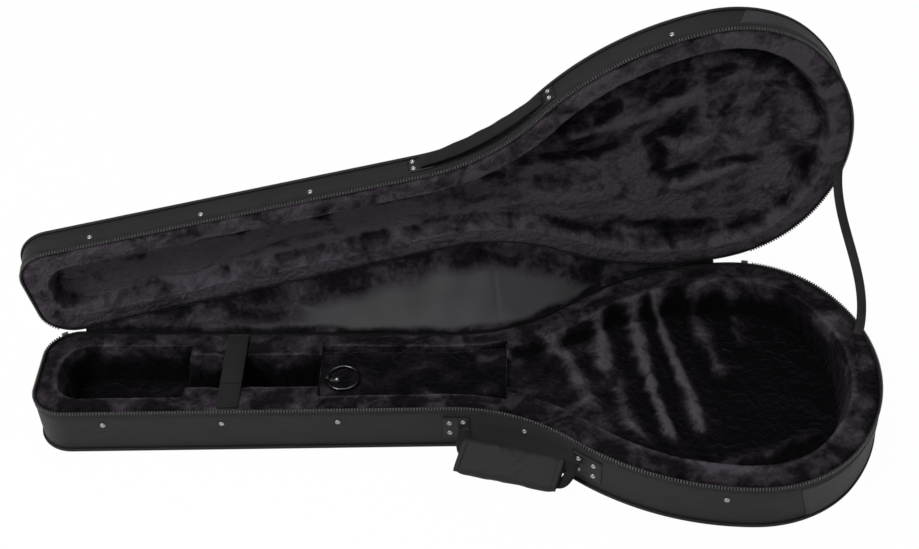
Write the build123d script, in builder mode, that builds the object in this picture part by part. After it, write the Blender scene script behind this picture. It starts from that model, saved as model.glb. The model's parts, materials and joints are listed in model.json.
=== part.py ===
from build123d import *
import os
from math import asin, atan2, cos, degrees, hypot, radians, sin, sqrt

# Bouzouki case: a shallow foam case covered in nylon and lined with long plush, lying open.
# X runs along the case (head at -X, tail at +X), Y points from the front to the hinge side and
# Z is up. The origin is the middle of the bottom, and the lid stands open behind the base.

# Driving sizes of the outline, mm
case_length = 1045.0
bout_half_width = 192.0
tail_tip_radius = 216.0
tail_side_radius = 152.0
bout_radius = 340.0
waist_radius = 240.0
waist_half_width = 65.0
head_half_width = 71.0
head_corner_radius = 42.0

# Heights and walls
base_depth = 71.0
lid_depth = 42.0
cover = 1.4
board = 12.0
lid_board = 10.0
head_wall = 26.0
neck_wall = 24.0
body_wall = 36.0
lid_wall = 28.0
body_foam_joint = 104.0
seat = 0.3

# Plush lining
plush = 2.5
rim_pad = 3.5
base_rim_drop = 3.4
lid_rim_drop = 0.5
rim_lap = 2.0

# Pockets: the well's length from the head's end, the others' places on X, and their half widths
well_length = 186.5
compartment_start = -158.0
compartment_end = 56.0
heel_end = 96.0
ramp_end = 318.0
channel_half_width = 24.0
divider = 10.0
heel_drop = 17.0
lid_cavity_head_radius = 34.0
pocket_corner = 3.0

# Zipper, piping and patches
tape = 0.9
tape_width = 11.0
teeth_width = 1.8
teeth_height = 2.3
teeth_gap = 0.2
piping = 2.2
piping_height = 5.0
piping_lift = 0.8
piping_round = 0.45
patch = 0.8
tail_patch_start = 404.0
lid_tail_patch_start = 392.0
patch_slant = 12.0

# Hinge
open_angle = 86.0
hinge_stand = 0.5
hinge_tape_width = 14.0
hinge_tape_rise = 1.8
head_tape_length = 70.5
gusset_end = 106.5
gusset = 0.8

# Handles
webbing = 1.6
webbing_width = 14.0
anchor = 1.6
anchor_length = 34.0
anchor_height = 36.0
anchor_level = 35.0
anchor_places = (2.0, 160.0)
handle_places = (12.0, 150.0)
handle_level = 35.0
handle_bend = 8.0
handle_tilt = 30.0
handle_drop = 32.5
pivot_stand = 4.0
pivot_length = 8.0
slot_gap = 0.4
grip_width = 38.0
grip_thickness = 12.0
grip_end_gap = 8.5
grip_round = 5.5
closure_width = 16.0
closure = 1.0
lid_anchor_places = (-6.0, 152.0)
lid_anchor_level = 23.6
lid_anchor_height = 23.0
lid_handle_width = 18.0
lid_handle_start = -8.0
lid_handle_end = 154.0
rivet_radius = 3.4
rivet_height = 1.4
rivet_level = 48.0
lid_rivet_level = 15.2
base_rivets = (-433.0, -286.0, -143.0, 86.0, 319.0)
lid_rivets = (-423.0, -283.0, -146.0, 313.0)
handle_rivets = (
    (-6.0, 43.0), (-6.0, 26.0), (11.0, 24.0),
    (151.0, 26.0), (168.0, 26.0), (151.0, 44.0), (168.0, 44.0),
)
lid_handle_rivets = ((-16.5, 17.5), (-16.5, 29.5), (162.5, 17.5), (162.5, 29.5))

# Neck strap
strap_from_head = 244.5
strap_width = 30.0
strap = 1.2
strap_reach = 62.0
strap_overlap = 22.0
strap_end = 0.0

# Compartment lid and its pull ring
lid_board_thickness = 4.0
compartment_pad = 6.0
compartment_gap = 1.5
compartment_lid_end = 86.0
compartment_ledge = 7.0
hinge_strip = 0.6
ring_radius = 19.5
ring_wire = 1.5
ring_place = -139.0
ring_offset = -12.0
ring_play = 0.7
tab_width = 8.0
tab_wall = 0.8
tab_reach = 15.0
pull_rivet_place = 11.5
pull_rivet_radius = 2.4

# Lining folds in the body
fold_radius = 15.0
fold_rise = 7.0
fold_runs = (
    (182.0, 74.0, 198.0, -30.0),
    (216.0, 98.0, 262.0, -84.0),
    (258.0, 106.0, 298.0, -88.0),
    (318.0, 112.0, 336.0, -6.0),
)

# Stay strap and zipper sliders
stay_place = 57.0
stay_width = 12.0
stay_inset = 8.0
stay = 1.2
stay_lift = 1.0
stay_sway = 13.0
stay_bend = 16.0
stay_steps = 10
slider_length = 9.0
slider_park = 2.7
slider_depth = 4.0
slider_height = 6.0
pull_length = 24.0
pull_width = 7.0
pull = 1.2
pull_round = 2.4
pull_hole = 1.6
slider_round = 1.2
slider_head_angle = 122.0
slider_tail_angle = 81.5

# Outline geometry: every arc keeps its centre, and an inset only changes its radius
half_length = case_length / 2
tip_centre = (half_length - tail_tip_radius, 0.0)
side_rise = bout_half_width - tail_side_radius
side_run = sqrt((tail_tip_radius - tail_side_radius) ** 2 - side_rise**2)
widest = tip_centre[0] + side_run
side_centre = (widest, side_rise)
bout_centre = (widest, bout_half_width - bout_radius)
waist_y = waist_half_width + waist_radius
bout_drop = waist_y - bout_centre[1]
waist_centre = (widest - sqrt((bout_radius + waist_radius) ** 2 - bout_drop**2), waist_y)
tip_angle = degrees(atan2(side_rise, side_run))
bout_angle = degrees(atan2(bout_drop, waist_centre[0] - widest))
well_end = well_length - half_length
strap_place = strap_from_head - half_length
head_tape_end = head_tape_length - half_length
bulge_tape_start = widest - gusset_end


def on_circle(centre, radius, angle):
    """Point on a circle at an angle in degrees."""
    return (centre[0] + radius * cos(radians(angle)), centre[1] + radius * sin(radians(angle)))


def head_corner(inset, least_radius):
    """Centre, radius and neck line angle of the head corner at an inset."""
    radius = max(head_corner_radius - inset, least_radius)
    centre = (inset - half_length + radius, head_half_width - inset - radius)
    run = waist_centre[0] - centre[0]
    rise = waist_centre[1] - centre[1]
    line = degrees(atan2(rise, run) - asin((waist_radius + inset + radius) / hypot(run, rise)))
    return centre, radius, line


def case_outline(inset=0.0, least_radius=pocket_corner, mode=Mode.ADD):
    """The case's outline, drawn inwards by inset, as a face in the open sketch."""
    corner, corner_radius, line = head_corner(inset, least_radius)
    arcs = (
        (tip_centre, tail_tip_radius - inset, 0, tip_angle),
        (side_centre, tail_side_radius - inset, tip_angle, 90),
        (bout_centre, bout_radius - inset, 90, bout_angle),
        (waist_centre, waist_radius + inset, bout_angle + 180, line + 270),
        (corner, corner_radius, line + 90, 180),
    )
    with BuildLine() as half:
        for centre, radius, start, end in arcs:
            ThreePointArc(*(on_circle(centre, radius, a) for a in (start, (start + end) / 2, end)))
        waist_end = on_circle(waist_centre, waist_radius + inset, line + 270)
        Line(waist_end, on_circle(corner, corner_radius, line + 90))
        Line((inset - half_length, corner[1]), (inset - half_length, 0))
        mirror(about=Plane.XZ)
    make_face(half.edges(), mode=mode)


def ring(outer, inner, least_radius=pocket_corner):
    """A band of the outline between two insets."""
    case_outline(outer)
    case_outline(inner, least_radius, mode=Mode.SUBTRACT)


def keep(x_low, x_high, y_low=-half_length, y_high=half_length, mode=Mode.INTERSECT):
    """Keep, or cut, what lies between two places on X, and on Y."""
    with Locations(((x_low + x_high) / 2, (y_low + y_high) / 2)):
        Rectangle(x_high - x_low, y_high - y_low, mode=mode)


def wall_at(x):
    """Distance of the outline from the centre line at x, and its outward slope there."""
    _, _, line = head_corner(0, pocket_corner)
    if x > on_circle(tip_centre, tail_tip_radius, tip_angle)[0]:
        centre, radius, side = tip_centre, tail_tip_radius, 1
    elif x > widest:
        centre, radius, side = side_centre, tail_side_radius, 1
    elif x > on_circle(bout_centre, bout_radius, bout_angle)[0]:
        centre, radius, side = bout_centre, bout_radius, 1
    elif x > on_circle(waist_centre, waist_radius, line + 270)[0]:
        centre, radius, side = waist_centre, waist_radius, -1
    else:
        end = on_circle(waist_centre, waist_radius, line + 270)
        slope = sin(radians(line)) / cos(radians(line))
        return end[1] + (x - end[0]) * slope, (-sin(radians(line)), cos(radians(line)))
    y = centre[1] + side * sqrt(radius**2 - (x - centre[0]) ** 2)
    return y, (side * (x - centre[0]) / radius, side * (y - centre[1]) / radius)


# The hinge line touches the head corner and the widest part of the body
corner_centre, corner_size, _ = head_corner(0, pocket_corner)
corner_run = bout_centre[0] - corner_centre[0]
corner_rise = bout_centre[1] - corner_centre[1]
hinge_turn = degrees(
    atan2(corner_rise, corner_run)
    + asin((bout_radius - corner_size) / hypot(corner_run, corner_rise))
)
hinge_normal = Vector(-sin(radians(hinge_turn)), cos(radians(hinge_turn)), 0)
hinge_line = Vector(cos(radians(hinge_turn)), sin(radians(hinge_turn)), 0)
hinge_reach = hinge_normal.dot(Vector(*corner_centre, 0)) + corner_size + hinge_stand
hinge_point = hinge_normal * hinge_reach + Vector(0, 0, base_depth)

# The zipper ends, and the hinge tape begins, a little way past the parked sliders
slider_room = slider_length / 2 + slider_park
head_room = degrees(slider_room / corner_size)
tail_room = degrees(slider_room / tail_side_radius)
zipper_head_end = on_circle(corner_centre, corner_size, slider_head_angle + head_room)[0]
zipper_tail_end = on_circle(side_centre, tail_side_radius, slider_tail_angle - tail_room)[0]
bulge_tape_end = on_circle(side_centre, tail_side_radius, slider_tail_angle + tail_room)[0]


def swung(vector, angle=-open_angle):
    """A vector turned about the hinge line's direction."""
    a = radians(angle)
    along = hinge_line * hinge_line.dot(vector) * (1 - cos(a))
    return vector * cos(a) + hinge_line.cross(vector) * sin(a) + along


lid_frame = Plane(
    origin=hinge_point + swung(Vector(0, 0, base_depth) - hinge_point),
    x_dir=swung(Vector(1, 0, 0)),
    z_dir=swung(Vector(0, 0, 1)),
)
rim_frame = Plane.XY.offset(base_depth)
middles = {"base": Plane.XZ, "lid": Plane(lid_frame.origin, z_dir=lid_frame.y_dir)}


def level(half, near, far):
    """Plane and height of a layer that lies between two depths below a half's rim."""
    if half == "base":
        return rim_frame.offset(-far), far - near
    return lid_frame.offset(near), far - near


def wall_frame(half, x, depth, stand, side=-1):
    """Plane on the outside of the side wall, stand away from it, facing outwards."""
    y, slope = wall_at(x)
    out = Vector(slope[0], side * slope[1], 0)
    place = Vector(x, side * y, 0) + out * stand
    if half == "base":
        return Plane(place + Vector(0, 0, base_depth - depth), x_dir=(0, 0, 1), z_dir=out)
    frame = lid_frame
    origin = frame.origin + frame.x_dir * place.X + frame.y_dir * place.Y + frame.z_dir * depth
    z_dir = frame.x_dir * out.X + frame.y_dir * out.Y
    return Plane(origin, x_dir=frame.z_dir, z_dir=z_dir)


def save(piece, name):
    """Label a finished piece and write it."""
    piece.part.label = name
    export_step(piece.part, f"parts/{name}.step")


os.makedirs("parts", exist_ok=True)

inside = cover + seat
depths = {"base": base_depth, "lid": lid_depth}
boards = {"base": board, "lid": lid_board}
drops = {"base": base_rim_drop, "lid": lid_rim_drop}
panels = {"base": "base_bottom_cover", "lid": "lid_top_cover"}
edgings = {"base": "base_bottom_piping", "lid": "lid_top_piping"}
patch_starts = {"base": tail_patch_start, "lid": lid_tail_patch_start}
heel_start = compartment_end + compartment_ledge + compartment_gap


# Nylon covers, piping and tail patches of both halves
for half, depth in depths.items():
    plane, height = level(half, depth - cover, depth)
    with BuildPart() as panel_cover:
        with BuildSketch(plane):
            case_outline()
        extrude(amount=height)
    save(panel_cover, panels[half])

    plane, height = level(half, seat, depth - cover - seat)
    with BuildPart() as side_cover:
        with BuildSketch(plane):
            ring(0, cover)
        extrude(amount=height)
    save(side_cover, f"{half}_side_cover")

    plane, height = level(half, depth - piping_lift - piping_height, depth - piping_lift)
    with BuildPart() as edging:
        with BuildSketch(plane):
            ring(-seat - piping, -seat)
        extrude(amount=height)
        flats = edging.faces().filter_by(Axis(plane.origin, plane.z_dir))
        fillet(flats.edges(), piping * piping_round)
    save(edging, edgings[half])

    near, far = tape_width + 2 * seat, depth - piping_lift - piping_height - seat
    plane, height = level(half, near, far)
    start = patch_starts[half]
    with BuildPart() as tail_patch:
        with BuildSketch(plane):
            ring(-seat - patch, -seat)
            keep(start, case_length)
        extrude(amount=height)
        front = {"base": rim_frame, "lid": lid_frame}[half]
        lower, upper = {"base": (-far, -near), "lid": (near, far)}[half]
        side = Plane(front.origin, x_dir=front.x_dir, z_dir=-front.y_dir)
        with BuildSketch(side):
            with BuildLine():
                low_start = start + (patch_slant if half == "base" else 0)
                high_start = start + (0 if half == "base" else patch_slant)
                Polyline((low_start, lower), (high_start, upper), (start - patch_slant, upper),
                         (start - patch_slant, lower), close=True)
            make_face()
        extrude(amount=case_length, both=True, mode=Mode.SUBTRACT)
    save(tail_patch, f"{half}_tail_patch")

    # Foam board behind the panel, and foam walls in three stretches
    plane, height = level(half, depth - inside - boards[half], depth - inside)
    with BuildPart() as foam_board:
        with BuildSketch(plane):
            case_outline(inside)
        extrude(amount=height)
    save(foam_board, "base_foam_floor" if half == "base" else "lid_foam_panel")

    foam_top = drops[half] + rim_pad + seat
    plane, height = level(half, foam_top, depth - inside - boards[half] - seat)
    walls = (head_wall, neck_wall, body_wall) if half == "base" else (lid_wall,) * 3
    stretches = (
        ("head", -case_length, well_end, walls[0]),
        ("neck", well_end, heel_start, walls[1]),
        ("body", heel_start, case_length, walls[2]),
    )
    for stretch, low, high, wall in stretches:
        with BuildPart() as foam_wall:
            with BuildSketch(plane):
                ring(inside, wall, lid_cavity_head_radius)
                keep(low, high)
            extrude(amount=height)
            split(bisect_by=middles[half], keep=Keep.BOTH)
            if (half, stretch) == ("base", "body"):
                split(bisect_by=Plane.YZ.offset(body_foam_joint), keep=Keep.BOTH)
        save(foam_wall, f"{half}_foam_{stretch}")


# Zippers, and the fabric tapes on the hinge side
for half in depths:
    bands = (
        ("zipper_teeth", teeth_gap, teeth_gap + teeth_height, teeth_width),
        ("zipper_tape", teeth_gap + teeth_height + seat, tape_width, tape),
    )
    for name, near, far, thickness in bands:
        plane, height = level(half, near, far)
        with BuildPart() as band:
            with BuildSketch(plane):
                ring(-seat - thickness, -seat)
                keep(zipper_head_end, zipper_tail_end, 0, mode=Mode.SUBTRACT)
            extrude(amount=height)
        save(band, f"{half}_{name}")

    plane, height = level(half, hinge_tape_rise, hinge_tape_rise + hinge_tape_width)
    with BuildPart() as hinge_tape:
        with BuildSketch(plane):
            ring(-seat - tape, -seat)
            keep(corner_centre[0] + seat, bulge_tape_end, 0)
            keep(head_tape_end, bulge_tape_start, mode=Mode.SUBTRACT)
        extrude(amount=height)
    save(hinge_tape, f"{half}_hinge_tape")


# Plush rims, and the pockets that they frame
ledge_lap = seat + plush + rim_lap


def pocket(kind, fit):
    """A pocket as a face, fit outside the plush that lines it."""
    shift = seat + plush - fit
    places = {
        "well": (head_wall, lid_cavity_head_radius - shift, -case_length, well_end - shift),
        "compartment": (neck_wall, pocket_corner, compartment_start + shift,
                        compartment_end - shift),
        "opening": (neck_wall, pocket_corner, compartment_start - divider,
                    heel_start + ledge_lap),
        "body": (body_wall, pocket_corner, heel_start + shift, case_length),
        "lid": (lid_wall, lid_cavity_head_radius - shift, -case_length, case_length),
    }
    with BuildSketch() as face:
        if kind == "channel":
            start = well_end - seat - plush - rim_lap
            end = compartment_start - divider - shift
            with Locations(((start + end) / 2, 0)):
                Rectangle(end - start, 2 * (channel_half_width + fit))
        else:
            wall, radius, low, high = places[kind]
            case_outline(wall + shift, radius)
            keep(low, high)
    return face.sketch


rim_faces = {
    "base": [pocket("well", -rim_lap), pocket("opening", 0), pocket("body", -rim_lap)],
    "lid": [pocket("lid", -rim_lap)],
}
for half, faces in rim_faces.items():
    plane, height = level(half, drops[half], drops[half] + rim_pad)
    with BuildPart() as plush_rim:
        with BuildSketch(plane):
            case_outline(inside)
            for face in faces:
                add(face, mode=Mode.SUBTRACT)
            if half == "base":
                keep(well_end - seat - plush - 2 * rim_lap, compartment_start,
                     rim_lap - channel_half_width, channel_half_width - rim_lap, Mode.SUBTRACT)
                keep(heel_start, heel_start + ledge_lap + rim_lap,
                     -channel_half_width, channel_half_width, Mode.SUBTRACT)
        extrude(amount=height)
    save(plush_rim, f"{half}_plush_rim")


# Foam blocks that narrow the neck and carry the compartment
foam_top = base_rim_drop + rim_pad + seat
foam_foot = base_depth - inside - board - seat
plane, height = level("base", foam_top, foam_foot)
with BuildPart() as neck_rails:
    with BuildSketch(plane):
        case_outline(neck_wall + seat)
        keep(well_end, compartment_start - divider - seat)
        keep(-case_length, case_length, -channel_half_width - plush - seat,
             channel_half_width + plush + seat, Mode.SUBTRACT)
    extrude(amount=height)
save(neck_rails, "neck_rails")

plane, height = level("base", heel_drop, foam_foot)
with BuildPart() as compartment_divider:
    with BuildSketch(plane):
        case_outline(neck_wall + seat)
        keep(compartment_start - divider, compartment_start)
    extrude(amount=height)
save(compartment_divider, "compartment_divider")

with BuildPart() as neck_heel_block:
    with BuildSketch(plane):
        case_outline(body_wall + seat)
        keep(compartment_end, heel_end)
    extrude(amount=height)
save(neck_heel_block, "neck_heel_block")

heel_top = base_depth - heel_drop
floor = base_depth - foam_foot
ramp_toe = floor + plush


def profile(lift, x_low, x_high, upper):
    """Side view of the space above the heel block, ramp and floor, raised by lift."""
    with BuildSketch(Plane.XZ) as view:
        with BuildLine():
            Polyline(
                (x_low, heel_top + lift), (heel_end, heel_top + lift),
                (ramp_end, ramp_toe + lift), (x_high, ramp_toe + lift),
                (x_high, upper), (x_low, upper), close=True,
            )
        make_face()
    return view.sketch


with BuildPart() as body_ramp:
    with BuildSketch(plane):
        case_outline(body_wall + seat)
        keep(heel_end + seat, ramp_end)
    extrude(amount=height)
    extrude(profile(0, -case_length, case_length, case_length), amount=case_length, both=True,
            mode=Mode.SUBTRACT)
save(body_ramp, "body_ramp")


# Plush linings of the pockets
def lining(outer, inner, top):
    """A plush lining: a floor and the walls around it, up to a depth below the rim."""
    with BuildPart() as piece:
        with BuildSketch(rim_frame.offset(-foam_foot)):
            for face in outer:
                add(face)
        extrude(amount=foam_foot - top)
        with BuildSketch(rim_frame.offset(plush - foam_foot)):
            for face in inner:
                add(face)
        extrude(amount=foam_foot, mode=Mode.SUBTRACT)
    return piece


kinds = ("well", "channel")
neck_lining = lining([pocket(k, plush) for k in kinds], [pocket(k, 0) for k in kinds], foam_top)
save(neck_lining, "head_well_lining")

compartment_lining = lining([pocket("compartment", plush)], [pocket("compartment", 0)], foam_top)
with BuildPart() as compartment_liner:
    add(compartment_lining.part)
    with BuildSketch(rim_frame.offset(-heel_drop)):
        case_outline(neck_wall + seat + plush)
        keep(compartment_start - divider, compartment_end)
    extrude(amount=heel_drop, mode=Mode.SUBTRACT)
save(compartment_liner, "compartment_lining")


def lining_level(x):
    """Height of the body lining's upper surface."""
    share = min(max((x - heel_end) / (ramp_end - heel_end), 0), 1)
    return heel_top + (ramp_toe - heel_top) * share + seat + plush


with BuildPart() as body_space:
    with BuildSketch(rim_frame.offset(-foam_foot)):
        add(pocket("body", 0))
        keep(heel_start - plush, case_length)
    extrude(amount=foam_foot)
    extrude(profile(seat + plush, -case_length, case_length, case_length), amount=case_length,
            both=True, mode=Mode.INTERSECT)
    for x_back, y_back, x_front, y_front in fold_runs:
        sunk = fold_radius - fold_rise
        back = Vector(x_back, y_back, lining_level(x_back) - sunk)
        front = Vector(x_front, y_front, lining_level(x_front) - sunk)
        with BuildSketch(Plane(back, z_dir=front - back)):
            Circle(fold_radius)
        extrude(amount=(front - back).length, mode=Mode.SUBTRACT)

with BuildPart() as body_cavity_lining:
    with BuildSketch(rim_frame.offset(-foam_foot)):
        add(pocket("body", plush))
    extrude(amount=foam_foot - foam_top)
    extrude(profile(seat, -case_length, case_length, case_length), amount=case_length, both=True,
            mode=Mode.INTERSECT)
    add(body_space.part, mode=Mode.SUBTRACT)
save(body_cavity_lining, "body_cavity_lining")

lid_foot = lid_depth - inside - lid_board - seat
lid_foam_top = lid_rim_drop + rim_pad + seat
plane, height = level("lid", lid_foam_top, lid_foot)
with BuildPart() as lid_cavity_lining:
    with BuildSketch(plane):
        add(pocket("lid", plush))
    extrude(amount=height)
    with BuildSketch(plane):
        add(pocket("lid", 0))
    extrude(amount=height - plush, mode=Mode.SUBTRACT)
save(lid_cavity_lining, "lid_cavity_lining")


# Gusset of plain cloth that closes the waist between the two rims, and its tie to the hinge line
gusset_rise = (hinge_normal * (1 - cos(radians(open_angle)))
               + Vector(0, 0, sin(radians(open_angle)))).normalized()
with BuildPart() as hinge_gusset:
    with BuildSketch(rim_frame):
        ring(-seat - gusset, -seat)
        keep(head_tape_end, bulge_tape_start, 0)
    extrude(amount=case_length / 2, dir=gusset_rise)
    split(bisect_by=lid_frame, keep=Keep.BOTTOM)
save(hinge_gusset, "hinge_gusset")


# Riveted handle anchors and side rivets
def wall_band(half, low, high, depth, height_, near, far):
    """A band that follows the front wall between two places on X and two distances from it."""
    band_plane, tall = level(half, depth - height_ / 2, depth + height_ / 2)
    with BuildSketch(band_plane) as face:
        ring(-far, -near)
        keep(low, high, y_high=0)
    extrude(face.sketch, amount=tall)


def rivets(name, half, places, stand):
    """Domed rivet heads on the front wall, at places on X and depths below the rim."""
    with BuildPart() as heads:
        for x, depth_ in places:
            with BuildSketch(wall_frame(half, x, depth_, stand)):
                Circle(rivet_radius)
            extrude(amount=rivet_height, taper=30)
    save(heads, name)


anchor_face = seat + anchor + seat
bases = [(x, base_depth - rivet_level) for x in base_rivets]
rivets("base_side_rivets", "base", bases, seat)
rivets("lid_side_rivets", "lid", [(x, lid_rivet_level) for x in lid_rivets], seat)
rivets("base_handle_rivets", "base", handle_rivets, anchor_face)
rivets("lid_handle_rivets", "lid", lid_handle_rivets, anchor_face)

anchor_sets = {
    "base": (anchor_places, anchor_level, anchor_height),
    "lid": (lid_anchor_places, lid_anchor_level, lid_anchor_height),
}
for half, (places, depth, tall) in anchor_sets.items():
    with BuildPart() as handle_anchors:
        for x in places:
            wall_band(half, x - anchor_length / 2, x + anchor_length / 2, depth, tall, seat,
                      seat + anchor)
    save(handle_anchors, f"{half}_handle_anchors")

with BuildPart() as lid_handle_webbing:
    wall_band("lid", lid_handle_start, lid_handle_end, lid_anchor_level, lid_handle_width,
              anchor_face, anchor_face + webbing)
save(lid_handle_webbing, "lid_handle_webbing")


# Carrying handle: a flat loop of webbing in the plane that it swings in, with a soft grip
pivots = [wall_frame("base", x, handle_level, pivot_stand).origin for x in handle_places]
handle_along = (pivots[1] - pivots[0]).normalized()
handle_span = (pivots[1] - pivots[0]).length
handle_out = handle_along.cross(Vector(0, 0, 1))
handle_down = handle_out * cos(radians(handle_tilt)) - Vector(0, 0, sin(radians(handle_tilt)))
handle_plane = Plane(
    (pivots[0] + pivots[1]) / 2, x_dir=handle_along, z_dir=handle_along.cross(handle_down)
)
grip_length = handle_span - 2 * grip_end_gap

with BuildPart() as base_handle_webbing:
    with BuildSketch(handle_plane.offset(-webbing / 2)):
        for side in (-1, 1):
            with Locations((side * handle_span / 2, handle_bend)):
                Rectangle(pivot_length, 2 * handle_bend)
        with Locations((0, handle_bend + (handle_drop + webbing_width / 2 - handle_bend) / 2)):
            RectangleRounded(handle_span + webbing_width,
                             handle_drop + webbing_width / 2 - handle_bend, handle_bend)
        with Locations((0, handle_drop / 2)):
            Rectangle(handle_span - webbing_width, handle_drop - webbing_width, mode=Mode.SUBTRACT)
    extrude(amount=webbing)
save(base_handle_webbing, "base_handle_webbing")

grip_plane = Plane(
    handle_plane.from_local_coords(Vector(-grip_length / 2, handle_drop, 0)),
    x_dir=handle_plane.y_dir, z_dir=handle_plane.x_dir,
)
with BuildPart() as base_handle_grip:
    with BuildSketch(grip_plane):
        RectangleRounded(grip_width, grip_thickness, grip_round)
        Rectangle(webbing_width + 2 * slot_gap, webbing + 2 * slot_gap, mode=Mode.SUBTRACT)
    extrude(amount=grip_length)
save(base_handle_grip, "base_handle_grip")

with BuildPart() as grip_closure_strip:
    with BuildSketch(handle_plane.offset(-grip_thickness / 2 - seat)):
        with Locations((0, handle_drop)):
            Rectangle(grip_length - grip_end_gap, closure_width)
    extrude(amount=-closure)
save(grip_closure_strip, "grip_closure_strip")


# Neck strap in two overlapping halves
strap_halves = {
    "neck_strap_front": (base_rim_drop - seat, -strap_reach, strap_end),
    "neck_strap_back": (base_rim_drop - seat - strap - seat, -strap_overlap, strap_reach),
}
for name, (drop, low, high) in strap_halves.items():
    plane, height = level("base", drop - strap, drop)
    with BuildPart() as strap_half:
        with BuildSketch(plane):
            with Locations((strap_place, (low + high) / 2)):
                Rectangle(strap_width, high - low)
        extrude(amount=height)
    save(strap_half, name)


# Lid of the accessory compartment, its cloth hinge and its pull ring
board_low = heel_top + seat
pad_low = board_low + lid_board_thickness + seat
pad_high = pad_low + compartment_pad
hinge_place = compartment_end + compartment_ledge
layers = {
    "compartment_lid_board": (board_low, lid_board_thickness),
    "compartment_lid_plush": (pad_low, compartment_pad),
}
for name, (low, height) in layers.items():
    with BuildPart() as layer:
        with BuildSketch(Plane.XY.offset(low)):
            case_outline(neck_wall + seat + plush + compartment_gap)
            keep(compartment_start - divider + compartment_gap, hinge_place,
                 -compartment_lid_end / 2, compartment_lid_end / 2)
        extrude(amount=height)
    save(layer, name)

with BuildPart() as compartment_hinge_strip:
    with Locations((hinge_place + seat, 0, board_low)):
        Box(hinge_strip, 2 * channel_half_width, pad_high - board_low,
            align=(Align.MIN, Align.CENTER, Align.MIN))
save(compartment_hinge_strip, "compartment_hinge_strip")

tab_inner = 2 * (ring_wire + ring_play)
tab_low = pad_high + seat
tab_plane = Plane((ring_place - ring_radius, ring_offset, tab_low + tab_wall + tab_inner / 2),
                  x_dir=(1, 0, 0), z_dir=(0, -1, 0))
tab_tall = tab_inner + 2 * tab_wall
with BuildPart() as compartment_pull_tab:
    with BuildSketch(tab_plane.offset(-tab_width / 2)):
        RectangleRounded(tab_tall, tab_tall, tab_tall / 2 - 0.1)
        with Locations((tab_reach / 2, tab_wall - tab_tall / 2)):
            Rectangle(tab_reach, 2 * tab_wall)
        Circle(tab_inner / 2, mode=Mode.SUBTRACT)
    extrude(amount=tab_width)
save(compartment_pull_tab, "compartment_pull_tab")

with BuildPart() as compartment_pull_rivet:
    with BuildSketch(Plane.XY.offset(tab_low + 2 * tab_wall + seat)):
        with Locations((ring_place - ring_radius + pull_rivet_place, ring_offset)):
            Circle(pull_rivet_radius)
    extrude(amount=rivet_height, taper=30)
save(compartment_pull_rivet, "compartment_pull_rivet")

with BuildPart() as compartment_pull_ring:
    with Locations((ring_place, ring_offset, tab_plane.origin.Z)):
        Torus(ring_radius, ring_wire)
save(compartment_pull_ring, "compartment_pull_ring")


# Stay strap between the two rims at the tail
stay_radius = tail_tip_radius - stay_inset
stay_foot = (tip_centre[0] + sqrt(stay_radius**2 - stay_place**2), stay_place)
stay_low = rim_frame.from_local_coords(Vector(*stay_foot, stay_lift - base_rim_drop))
stay_high = lid_frame.from_local_coords(Vector(*stay_foot, lid_rim_drop - stay_lift))
stay_chord = stay_high - stay_low
stay_sag = stay_chord.cross(hinge_line).normalized() * stay_bend
with BuildLine() as stay_path:
    Spline(
        stay_low,
        stay_low + stay_chord * 0.3 + hinge_line * stay_sway + stay_sag * 0.8,
        stay_low + stay_chord * 0.65 + hinge_line * stay_sway * 0.1 + stay_sag * 0.8,
        stay_high,
        tangents=(stay_chord, stay_chord),
    )
with BuildPart() as lid_stay_strap:
    for step in range(stay_steps + 1):
        share = step / stay_steps
        along = stay_path.line % share
        with BuildSketch(Plane(stay_path.line @ share, x_dir=hinge_line, z_dir=along)):
            Rectangle(stay_width, stay)
    loft()
save(lid_stay_strap, "lid_stay_strap")


# Zipper sliders, parked at the zipper's ends, and their pulls
slider_places = {
    "head": (corner_centre, corner_size, slider_head_angle),
    "tail": (side_centre, tail_side_radius, slider_tail_angle),
}
for end, (centre, radius, angle) in slider_places.items():
    spot = Vector(*centre, base_depth - seat - slider_height / 2)
    out = Vector(cos(radians(angle)), sin(radians(angle)), 0)
    face = Plane(spot + out * (radius + seat), x_dir=(0, 0, 1), z_dir=out)
    with BuildPart() as zipper_slider:
        with BuildSketch(face):
            RectangleRounded(slider_height, slider_length, slider_round)
        extrude(amount=slider_depth)
    save(zipper_slider, f"zipper_slider_{end}")

    with BuildPart() as zipper_pull:
        with BuildSketch(face.offset(slider_depth + seat)):
            with Locations(((pull - pull_length) / 2, 0)):
                RectangleRounded(pull_length, pull_width, pull_round)
            with Locations((-pull_width / 2, 0)):
                Circle(pull_hole, mode=Mode.SUBTRACT)
        extrude(amount=pull)
    save(zipper_pull, f"zipper_pull_{end}")
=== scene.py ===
"""Looks of an open bouzouki case: nylon cover, long plush lining, zipper, webbing and fittings."""

import json
import math

import bpy
import numpy as np
from mathutils import Matrix


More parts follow.
